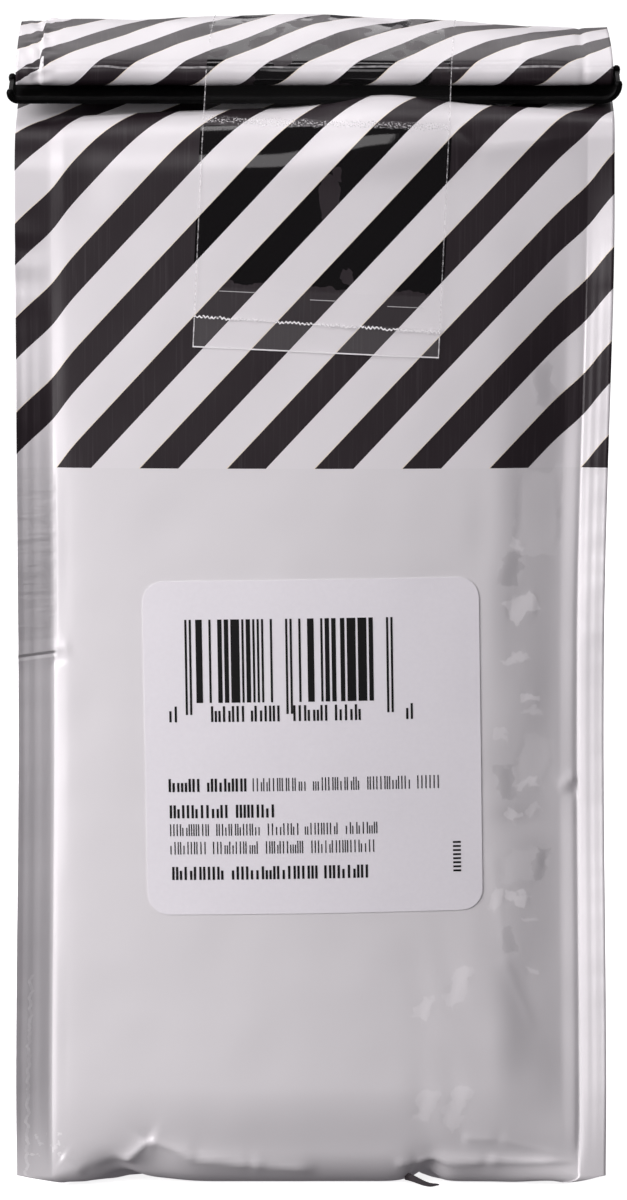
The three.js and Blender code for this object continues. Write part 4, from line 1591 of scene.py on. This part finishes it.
@dataclass
class TinTie:
    """A flat ribbon with a wire in each edge, bent up at both ends; millimetres."""

    width: float = 8.4
    thickness: float = 0.62
    inner: float = 45.75
    bend_left: float = 1.1
    bend_right: float = 2.4
    leg: float = 0.1
    slope: float = math.radians(18)
    front: tuple[float, float] = (-23.2, 164.75)
    wire: float = 0.58
    crown: float = 0.12
    cells: tuple[int, int] = (60, 8)
    wire_sides: int = 14
    bend_steps: int = 8
    end_reach: float = 1.1  # how high the vertices of an end lie at most, in radii of a wire
    cap: tuple[tuple[float, float], ...] = ((0.55, 0.84), (0.3, 0.6))  # rise in radii and share that stays

    def ribbon(self) -> bpy.types.Object:
        """Returns the ribbon, made from a grid whose ends are spun up and drawn out."""
        length_cells, width_cells = self.cells
        bpy.ops.mesh.primitive_grid_add(x_subdivisions=length_cells, y_subdivisions=width_cells, size=1)
        ribbon = bpy.context.object
        ribbon.name = "tie_ribbon"
        ribbon.scale = (self.run() * MM, self.width * MM, 1)
        bpy.ops.object.transform_apply(location=False, rotation=False, scale=True)
        self.bend_up(ribbon)
        for vertex in ribbon.data.vertices:
            edge = abs(vertex.co.y) / (self.width / 2 * MM)
            vertex.co.z += self.crown * MM * math.cos(edge * math.pi)
        thicken(ribbon, self.thickness, 0)
        return ribbon

    def run(self) -> float:
        """Returns the length of the straight stretch between the bends."""
        return 2 * self.inner - self.bend_left - self.bend_right

    def bend_up(self, piece: bpy.types.Object, round_end: bool = False) -> None:
        """Spins both ends of a strip up and draws them out to the length of their legs.

        Args:
            piece: the strip, along X.
            round_end: whether its ends get a round cap.
        """
        half, reach = self.run() / 2 * MM, self.wire * self.end_reach * MM
        for hand, bend in ((-1, self.bend_left), (1, self.bend_right)):
            bpy.ops.object.mode_set(mode="EDIT")
            bpy.ops.mesh.select_mode(type="VERT")
            bpy.ops.mesh.select_all(action="DESELECT")
            bpy.ops.object.mode_set(mode="OBJECT")
            for vertex in piece.data.vertices:
                vertex.select = abs(vertex.co.x - hand * half) < SAME_PLACE and vertex.co.z < reach
            bpy.ops.object.mode_set(mode="EDIT")
            bpy.ops.mesh.spin(
                steps=self.bend_steps, angle=hand * math.pi / 2,
                center=(hand * half, 0, bend * MM), axis=(0, 1, 0),
            )
            bpy.ops.mesh.extrude_region_move(TRANSFORM_OT_translate={"value": (0, 0, self.leg * MM)})
            if round_end:
                self.close_end()
            bpy.ops.object.mode_set(mode="OBJECT")

    def close_end(self) -> None:
        """Draws the selected loop of a wire's end in to a round cap and fills it."""
        for rise, share in self.cap:
            bpy.ops.mesh.extrude_region_move(TRANSFORM_OT_translate={"value": (0, 0, self.wire * rise * MM)})
            bpy.ops.transform.resize(value=(share, share, share))
        bpy.ops.mesh.edge_face_add()

    def wires(self) -> list[bpy.types.Object]:
        """Returns the two wires' coats along the ribbon's edges."""
        made = []
        for hand in (-1, 1):
            bpy.ops.mesh.primitive_cylinder_add(
                vertices=self.wire_sides, radius=self.wire * MM, depth=self.run() * MM,
                end_fill_type="NOTHING", rotation=(0, math.pi / 2, 0),
            )
            wire = bpy.context.object
            bpy.ops.object.transform_apply(location=False, rotation=True, scale=False)
            self.bend_up(wire, round_end=True)
            wire.data.transform(Matrix.Translation((0, hand * (self.width / 2 - self.wire) * MM, 0)))
            wire.name = f"tie_wire_{'front' if hand < 0 else 'back'}"
            made.append(wire)
        return made

    def build(self) -> bpy.types.Object:
        """Returns the whole tie as one piece in its place under the roll."""
        bpy.ops.object.select_all(action="DESELECT")
        ribbon = self.ribbon()
        wires = self.wires()
        bpy.ops.object.select_all(action="DESELECT")
        for piece in (*wires, ribbon):
            piece.select_set(True)
        bpy.context.view_layer.objects.active = ribbon
        bpy.ops.object.join()
        bpy.ops.object.mode_set(mode="EDIT")
        bpy.ops.mesh.select_all(action="SELECT")
        bpy.ops.mesh.normals_make_consistent(inside=False)
        bpy.ops.object.mode_set(mode="OBJECT")
        y, z = self.front
        aside = (self.bend_left - self.bend_right) / 2 * MM
        middle = Vector((aside, y * MM, z * MM)) + Matrix.Rotation(self.slope, 3, "X") @ Vector(
            (0, self.width / 2 * MM, self.thickness / 2 * MM)
        )
        ribbon.data.transform(Matrix.Translation(middle) @ Matrix.Rotation(self.slope, 4, "X"))
        bpy.ops.object.shade_smooth_by_angle(angle=math.radians(50))
        ribbon.name = "tie"
        return ribbon


@dataclass
class Label:
    """The square sticker and its plain print; millimetres."""

    side: float = 50.6
    corner: float = 3.2
    x: float = -0.2
    z: float = 68.1
    turn: float = math.radians(0.9)
    thickness: float = 0.12
    step: float = 2.3
    stand_off: float = 34.0
    bars: int = 95
    bar_module: float = 0.33
    bars_left: float = -19.1
    bars_up: tuple[float, float, float] = (5.1, 6.9, 19.5)  # feet of guards and others, and head
    guards: tuple[int, ...] = (0, 2, 46, 48, 92, 94)
    bar_widths: tuple[int, ...] = (1, 1, 2, 2, 3, 4)
    bar_gaps: tuple[int, ...] = (1, 1, 1, 2, 3)
    stroke_gaps: tuple[float, ...] = (0.16, 0.3, 0.42)
    stroke_room: float = 1.15
    word_strokes: tuple[int, int] = (6, 20)
    word_gap: float = 0.8
    tall_share: float = 0.7
    low_head: float = 0.7
    lines: tuple[tuple[float, float, float, float, float], ...] = (
        (-21.9, -9.8, -6.6, -4.6, 0.36),
        (-9.2, 19.1, -6.6, -4.6, 0.17),
        (-21.8, -6.0, -10.6, -8.6, 0.36),
        (-21.8, 10.8, -13.3, -11.5, 0.17),
        (-21.8, 10.0, -16.1, -14.2, 0.17),
        (-21.6, 8.4, -20.0, -18.0, 0.36),
        (-21.6, -20.1, 4.0, 6.4, 0.34),
        (-15.3, -4.6, 4.0, 6.4, 0.34),
        (-2.9, 7.8, 4.0, 6.4, 0.34),
        (14.1, 15.6, 4.0, 6.4, 0.34),
    )
    side_marks: tuple[float, float, float] = (-19.4, -15.0, 0.62)  # start, end and step of a column
    side_mark: tuple[float, float, float] = (20.9, 22.1, 0.3)  # left, right and height of each
    sheet_gap: float = 0.02
    print_gap: float = 0.035
    print_step: float = 1.2

    def sheet(self, film: bpy.types.Object) -> bpy.types.Object:
        """Makes the sticker: a plane with beveled corners, cut into a grid and laid on the film.

        Args:
            film: what it is laid on.

        Returns:
            The piece.
        """
        bpy.ops.object.select_all(action="DESELECT")
        bpy.ops.mesh.primitive_plane_add(size=self.side * MM)
        sheet = bpy.context.object
        sheet.name = "label_sheet"
        bpy.ops.object.mode_set(mode="EDIT")
        bpy.ops.mesh.select_all(action="SELECT")
        bpy.ops.mesh.bevel(offset=self.corner * MM, segments=10, affect="VERTICES")
        cuts = np.arange(-self.side / 2 + self.step, self.side / 2 - 0.1, self.step)
        for normal in ((1, 0, 0), (0, 1, 0)):
            for cut in cuts:
                bpy.ops.mesh.select_all(action="SELECT")
                bpy.ops.mesh.bisect(plane_co=Vector(normal) * cut * MM, plane_no=normal)
        bpy.ops.object.mode_set(mode="OBJECT")
        self.lay(sheet, film, self.sheet_gap)
        thicken(sheet, self.thickness, 1)
        bpy.ops.object.shade_smooth_by_angle(angle=math.radians(40))
        return sheet

    def lay(self, piece: bpy.types.Object, target: bpy.types.Object, gap: float) -> None:
        """Stands a flat piece up in front of the bag and presses it onto a target.

        Args:
            piece: a mesh in the XY plane, round the label's middle.
            target: what it is pressed onto.
            gap: how far it stays off that, in millimetres.
        """
        stand = Matrix.Translation((self.x * MM, -self.stand_off * MM, self.z * MM))
        stand = stand @ Matrix.Rotation(-self.turn, 4, "Y") @ Matrix.Rotation(math.pi / 2, 4, "X")
        piece.data.transform(stand)
        piece.data.update()
        bpy.ops.object.select_all(action="DESELECT")
        piece.select_set(True)
        bpy.context.view_layer.objects.active = piece
        wrap = piece.modifiers.new("laid", "SHRINKWRAP")
        wrap.target = target
        wrap.wrap_method = "PROJECT"
        wrap.use_project_y = True
        wrap.use_positive_direction = True
        wrap.use_negative_direction = False
        wrap.offset = gap * MM
        bpy.ops.object.modifier_apply(modifier="laid")

    def print_marks(self) -> list[tuple[float, float, float, float]]:
        """Returns the print as rectangles: left, low, right and high from the label's middle.

        The bars follow a plain rule, and each line of words is a row of short strokes.
        """
        rng = np.random.default_rng(5)
        marks = []
        left, (guard, low, high) = self.bars_left, self.bars_up
        for module in self.guards:
            at = left + module * self.bar_module
            marks.append((at, guard, at + self.bar_module, high))
        module = self.guards[1] + 3
        while module < self.bars - 8:
            end = module + int(rng.choice(self.bar_widths))
            if end < self.guards[2] - 1 or module > self.guards[3] + 1:
                marks.append((left + module * self.bar_module, low, left + end * self.bar_module, high))
            module = end + int(rng.choice(self.bar_gaps))
        for line in self.lines:
            marks += self.words(rng, *line)
        mark_left, mark_right, mark_height = self.side_mark
        for level in np.arange(*self.side_marks):
            marks.append((mark_left, level, mark_right, level + mark_height))
        return marks

    def words(self, rng: np.random.Generator, left: float, right: float, low: float, high: float,
              stroke: float) -> list[tuple[float, float, float, float]]:
        """Returns one line of generic print as groups of upright strokes, without letters.

        Args:
            rng: the random draw.
            left: where the line starts.
            right: where it ends.
            low: its foot.
            high: its head.
            stroke: how thick a stroke is.

        Returns:
            The strokes as rectangles.
        """
        marks, at, group = [], left, int(rng.integers(*self.word_strokes))
        while at < right - stroke:
            head = high if rng.random() < self.tall_share else lerp(low, high, self.low_head)
            marks.append((at, low, at + stroke, head))
            at += stroke * self.stroke_room + float(rng.choice(self.stroke_gaps))
            group -= 1
            if not group:
                group = int(rng.integers(*self.word_strokes))
                at += self.word_gap
        return marks

    def print_piece(self, sheet: bpy.types.Object) -> bpy.types.Object:
        """Makes all the print as one thin piece.

        Args:
            sheet: the sticker that carries it.

        Returns:
            The piece.
        """
        points, faces = [], []
        for left, low, right, high in self.print_marks():
            cuts = max(1, round((high - low) / self.print_step))
            for k in range(cuts):
                bottom, top = lerp(low, high, k / cuts), lerp(low, high, (k + 1) / cuts)
                n = len(points)
                points += [(left, bottom, 0), (right, bottom, 0), (right, top, 0), (left, top, 0)]
                faces.append((n, n + 1, n + 2, n + 3))
        ink = mesh_object("label_print", np.array(points), faces)
        self.lay(ink, sheet, self.print_gap)
        return ink


@dataclass
class Tape:
    """The clear strip from the back of the ridge over the roll to the face; millimetres."""

    shape: FilmShape
    roll: RollShape
    width: float = 37.0
    length: float = 92.0
    turn: float = math.radians(2.6)
    foot: tuple[float, float] = (0.2, 127.5)
    lift: float = 0.12
    columns: int = 31
    step: float = 0.45
    lowest: float = 100.0
    levels: dict[Zone, int] = field(
        default_factory=lambda: {Zone.WALL: 90, Zone.SHOULDER: 20, Zone.GABLE: 12}
    )

    def outer_points(self, x: float) -> Array:
        """Cuts body and roll at one x.

        Args:
            x: where.

        Returns:
            Y and Z of their outer points.
        """
        across = np.array([[x / (1 + self.shape.wider_at_top)]])
        rows = Rows.spread(self.levels)
        clouds = []
        for side in Side:
            points = self.shape.face(rows, across, side)[0][:, 0, 1:]
            clouds.append(points[points[:, 1] > self.lowest])
        outer = self.roll.line().offset(self.roll.film_stack / 2)
        outer[:, 1] += self.roll.lift(np.full(len(outer), x), outer[:, 0], outer[:, 1])
        return np.concatenate([*clouds, outer])

    @staticmethod
    def taut(points: Array) -> Array:
        """Finds the upper hull of points.

        Args:
            points: their Y and Z.

        Returns:
            The hull, from the front to the back.
        """
        hull: list[Array] = []
        for p in points[np.lexsort((points[:, 1], points[:, 0]))]:
            while len(hull) > 1:
                (oy, oz), (ay, az) = hull[-2], hull[-1]
                if (ay - oy) * (p[1] - oz) - (az - oz) * (p[0] - oy) < 0:
                    break
                hull.pop()
            hull.append(p)
        return np.array(hull)

    def column(self, across: float, along: Array) -> Array:
        """Returns the points of one lengthwise line of the tape.

        Args:
            across: its distance from the tape's middle.
            along: distances from the foot.

        Returns:
            One point for each distance.
        """
        x0 = self.foot[0] + across * math.cos(self.turn)
        line = self.taut(self.outer_points(x0 + self.length / 2 * math.sin(self.turn)))
        reached = np.concatenate([[0], np.cumsum(np.hypot(*np.diff(line, axis=0).T))])
        start = np.interp(self.foot[1], line[: line[:, 1].argmax(), 1], reached[: line[:, 1].argmax()])
        target = start + along * math.cos(self.turn) - across * math.sin(self.turn)
        y, z = np.interp(target, reached, line[:, 0]), np.interp(target, reached, line[:, 1])
        y_ahead, z_ahead = np.gradient(y), np.gradient(z)
        size = np.hypot(y_ahead, z_ahead)
        x = x0 + along * math.sin(self.turn)
        return np.stack([x, y - z_ahead / size * self.lift, z + y_ahead / size * self.lift], axis=-1)

    def build(self) -> bpy.types.Object:
        """Returns the strip as one thin sheet."""
        along = np.arange(0, self.length, self.step)
        across = np.linspace(-self.width / 2, self.width / 2, self.columns)
        points = np.stack([self.column(a, along) for a in across], axis=1)
        rows, columns = points.shape[:2]
        r, c = np.meshgrid(np.arange(rows - 1), np.arange(columns - 1), indexing="ij")
        a = (r * columns + c).ravel()
        faces = np.stack([a, a + 1, a + 1 + columns, a + columns], axis=-1)
        flat = np.stack(np.meshgrid(along, across, indexing="ij")[::-1], axis=-1).reshape(-1, 2)
        piece = mesh_object("tape_strip", points, faces.tolist(), flat[faces.ravel()] * UV_MM, "tape")
        return piece


@dataclass(frozen=True)
class Softbox:
    """A rectangular lamp that looks at the middle of the bag; metres and watts."""

    name: str
    place: tuple[float, float, float]
    size: tuple[float, float]
    power: float

    def hang(self, target: Vector, tint: tuple[float, float, float]) -> None:
        """Adds the lamp, hidden from the camera.

        Args:
            target: the point it is turned to.
            tint: its colour.
        """
        lamp = bpy.data.lights.new(self.name, "AREA")
        lamp.shape = "RECTANGLE"
        lamp.size, lamp.size_y = self.size
        lamp.energy = self.power
        lamp.color = tint
        made = bpy.data.objects.new(self.name, lamp)
        made.location = self.place
        made.rotation_euler = (target - Vector(self.place)).to_track_quat("-Z", "Y").to_euler()
        made.visible_camera = False
        bpy.context.scene.collection.objects.link(made)


@dataclass
class Studio:
    """White floor, white surroundings, softboxes and the camera; metres."""

    distance: float = 0.905
    elevation: float = math.radians(5.5)
    target: tuple[float, float, float] = (-0.00013, -0.028, 0.0901)
    lens: float = 180.0
    world: float = 0.13
    tint: tuple[float, float, float] = (1.0, 0.965, 0.985)
    world_tint: Color = (0.98, 0.92, 1.0, 1)
    lamps_aim: tuple[float, float, float] = (0, 0, 0.09)
    floor_radius: float = 2.4
    floor_sides: int = 96
    floor_roughness: float = 0.9
    floor_grey: float = 0.9
    dome_radius: float = 2.6
    dome_sides: tuple[int, int] = (48, 24)
    floor_glow: tuple[float, float] = (0.8, 1.1)  # under the bag and away from it
    floor_fade: tuple[float, float] = (0.04, 0.35)
    boxes: tuple[Softbox, ...] = (
        Softbox("key_left", (-0.87, -0.62, 0.4), (0.6, 0.95), 14.5),
        Softbox("front_soft", (-0.35, -1.5, 0.8), (0.8, 0.6), 5.0),
        Softbox("edge_right", (1.3, 0.1, 0.3), (0.5, 1.0), 1.5),
        Softbox("above", (0.0, -0.08, 1.2), (1.0, 0.16), 2.6),
        Softbox("roof_behind", (0.0, 0.75, 0.95), (1.4, 0.8), 5.4),
    )

    def camera(self) -> None:
        """Makes the camera at the photograph's angle."""
        data = bpy.data.cameras.new("camera")
        data.lens = self.lens
        data.sensor_width = 36
        camera = bpy.data.objects.new("camera", data)
        back = Vector((0, -math.cos(self.elevation), math.sin(self.elevation)))
        camera.location = Vector(self.target) + back * self.distance
        camera.rotation_euler = (-back).to_track_quat("-Z", "Y").to_euler()
        bpy.context.scene.collection.objects.link(camera)
        bpy.context.scene.camera = camera

    def surroundings(self) -> None:
        """Makes the pale floor and a white dome; only the camera and the shadows see them."""
        white = Recipe("studio_white")
        spot = white.signal("ShaderNodeTexCoord", output="Object")
        far = white.signal("ShaderNodeVectorMath", {"operation": "LENGTH"}, {0: spot}, output="Value")
        near_glow, far_glow = self.floor_glow
        white.set(
            Base_Color=grey(self.floor_grey), Roughness=self.floor_roughness, Emission_Strength=1.0,
            Emission_Color=white.mix(far.rise(*self.floor_fade), grey(near_glow), grey(far_glow)),
        )
        glow = Recipe("studio_glow")
        glow.set(Base_Color=grey(0.0), Emission_Color=grey(1.0), Emission_Strength=far_glow)
        bpy.ops.object.select_all(action="DESELECT")
        bpy.ops.mesh.primitive_circle_add(
            vertices=self.floor_sides, radius=self.floor_radius, fill_type="NGON",
        )
        floor = bpy.context.object
        floor.name = "studio_floor"
        floor.data.materials.append(white.material)
        segments, rings = self.dome_sides
        bpy.ops.mesh.primitive_uv_sphere_add(segments=segments, ring_count=rings, radius=self.dome_radius)
        dome = bpy.context.object
        dome.name = "studio_dome"
        dome.data.materials.append(glow.material)
        for backdrop in (floor, dome):
            backdrop.visible_diffuse = False
            backdrop.visible_glossy = False
            backdrop.visible_transmission = False
        dome.visible_shadow = False

    def lights(self) -> None:
        """Hangs the softboxes and sets the dim light all round."""
        world = bpy.data.worlds.new("studio_world")
        world.use_nodes = True
        background = world.node_tree.nodes["Background"]
        background.inputs[0].default_value = self.world_tint
        background.inputs[1].default_value = self.world
        bpy.context.scene.world = world
        for box in self.boxes:
            box.hang(Vector(self.lamps_aim), self.tint)

    def build(self) -> None:
        """Sets up camera, surroundings, lights and a plain view."""
        self.camera()
        self.surroundings()
        self.lights()
        bpy.context.scene.view_settings.view_transform = "Standard"


FRONT_DENTS = (
    Dent(-24.3, 3.5, 4.5, 4.0, 1.2),
    Dent(-30.5, 1.5, 3.6, 3.0, 1.2),
    Dent(17.5, 2.0, 3.0, 3.5, 1.1),
    Dent(33.0, 4.0, 9.0, 3.2, 0.9),
    Dent(-38.7, 81.4, 1.6, 0.7, 0.45, 18),
    Dent(16.5, 30.5, 2.2, 9.0, 0.1, 8),
    Dent(21.0, 32.5, 2.0, 9.0, 0.1, 12),
    Dent(16.8, 14.5, 2.2, 7.0, 0.14, 5),
    Dent(21.5, 15.5, 2.0, 8.0, 0.12, 10),
    Dent(39.4, 61.4, 1.2, 0.8, 0.45, 40),
    Dent(31.4, 56.6, 3.6, 1.6, 0.22, -8),
    Dent(31.0, 31.0, 2.4, 7.0, 0.2, 24),
    Dent(-20.0, 101.0, 9.0, 5.0, 0.1, 20),
    Dent(-34.0, 73.0, 3.0, 5.0, 0.1, 12),
    Dent(-30.0, 48.0, 6.0, 4.0, 0.08, 30),
    Dent(-26.0, 30.0, 7.0, 3.5, 0.08, -15),
    Dent(-33.0, 155.0, 3.0, 5.0, 0.3, 10),
)
FRONT_CREASES = (
    Crease((-24.3, 7.6), (-28.6, 2.6), 0.9, 1.1),
    Crease((-24.3, 7.6), (-17.5, 4.9), 0.9, 1.1),
    Crease((-19.0, 5.0), (-7.0, 3.7), 0.75, 0.9),
    Crease((-9.0, 3.9), (1.0, 3.0), 0.55, 0.9),
    Crease((-37.8, 4.6), (-33.8, 1.8), 0.3, 1.0),
    Crease((22.8, 7.9), (28.5, 7.6), 0.2, 0.9),
    Crease((28.0, 7.7), (38.4, 4.6), 0.22, 0.9),
    Crease((15.5, 3.9), (28.5, 4.2), 0.6, 0.8),
    Crease((26.5, 4.2), (39.1, 3.6), 0.6, 0.8),
    Crease((12.8, 3.8), (15.6, 3.9), 0.4, 0.5),
    Crease((28.6, 36.0), (33.6, 24.5), 0.12, 0.8),
    Crease((27.0, 52.0), (29.0, 38.0), 0.08, 1.0),
    Crease((37.2, 61.6), (39.8, 63.6), 0.3, 0.5),
    Crease((-39.4, 81.5), (-36.2, 83.2), 0.3, 0.9),
    Crease((-37.4, 163.0), (-37.0, 147.0), 0.1, 1.3),
    Crease((21.0, 160.6), (24.2, 157.4), 0.4, 0.9),
    Crease((23.6, 157.6), (38.5, 159.8), 0.5, 0.9),
)
FRONT_FACETS = (
    Facet(33.8, 103.5, 3.2, 6.6, 3.0),
    Facet(31.8, 89.2, 2.3, 1.8, 7.0, 30),
    Facet(31.0, 81.4, 1.7, 0.6, 6.0, 14),
    Facet(33.0, 75.4, 1.5, 0.6, 7.0, -12),
    Facet(33.6, 72.9, 1.4, 0.4, 5.0, -10),
    Facet(28.9, 69.8, 0.9, 0.6, 4.0, -30),
    Facet(30.4, 57.4, 1.2, 0.9, 7.0, -25),
    Facet(33.4, 58.0, 1.0, 0.7, 4.0, 30),
    Facet(31.0, 44.9, 1.7, 0.6, 8.0, -8),
    Facet(27.8, 44.2, 0.7, 1.5, 5.0, -25),
    Facet(33.0, 41.5, 1.0, 0.4, 5.0, 15),
    Facet(31.6, 49.6, 3.2, 2.2, 2.0, 12),
    Facet(33.6, 66.0, 2.4, 3.6, 2.0, -18),
    Facet(17.0, 27.8, 0.9, 1.6, 5.0, -25),
    Facet(22.2, 31.6, 1.0, 3.0, 4.0, -30),
    Facet(17.2, 13.2, 1.2, 2.6, 4.0, -20),
    Facet(21.8, 13.0, 1.3, 3.4, 4.0, -25),
    Facet(34.2, 122.6, 1.4, 3.0, -4.0, 12),
    Facet(30.0, 95.0, 1.4, 2.6, -5.0, -20),
    Facet(29.4, 62.5, 1.2, 2.6, -5.0, 10),
    Facet(34.6, 50.0, 0.9, 2.4, -5.0, -15),
    Facet(29.6, 38.0, 1.0, 2.2, -4.0, 20),
    Facet(32.6, 62.4, 1.5, 0.5, 6.0, 5),
    Facet(30.9, 98.6, 1.0, 0.5, 5.0, -15),
    Facet(33.4, 33.6, 1.3, 0.5, 5.0, -10),
)
FOOT_LIFTS = ((-29.4, 1.1, 3.4), (18.3, 1.2, 1.7))  # where the foot stands off the floor, how far, how wide


def finish_piece(piece: bpy.types.Object, material: bpy.types.Material,
                 replaces: Sequence[str] = ()) -> None:
    """Gives a piece its material, its place in the model and its line in the log.

    Args:
        piece: the piece.
        material: its only material.
        replaces: the CAD nodes that it stands for.
    """
    piece.data.materials.clear()
    piece.data.materials.append(material)
    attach(piece, "root")
    if replaces:
        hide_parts(*replaces)
    log.info("%s: %d faces", piece.name, len(piece.data.polygons))


def main() -> None:
    """Builds the bag and its studio."""
    logging.basicConfig(level=logging.INFO, format="%(message)s")
    shape = FilmShape(
        dents=FRONT_DENTS, creases=FRONT_CREASES, facets=FRONT_FACETS, foot_lifts=FOOT_LIFTS,
    )
    roll = RollShape()
    bag = FilmBag(shape, roll)
    body = bag.body()
    body_film = FilmFinish(Panel.BODY, facets=FRONT_FACETS).make()
    finish_piece(body, body_film, ["bag"])
    finish_piece(bag.flap(), body_film)
    finish_piece(bag.mouth(), FilmFinish(Panel.MOUTH).make(), ["bag"])
    finish_piece(TinTie().build(), TieFinish().make(), ["tin_tie"])
    label = Label()
    sheet = label.sheet(body)
    finish_piece(sheet, LabelFinish().make(), ["label"])
    finish_piece(label.print_piece(sheet), PrintFinish().make())
    finish_piece(Tape(shape, roll).build(), TapeFinish().make(), ["tape"])
    Studio().build()


if __name__ == "__main__":
    main()
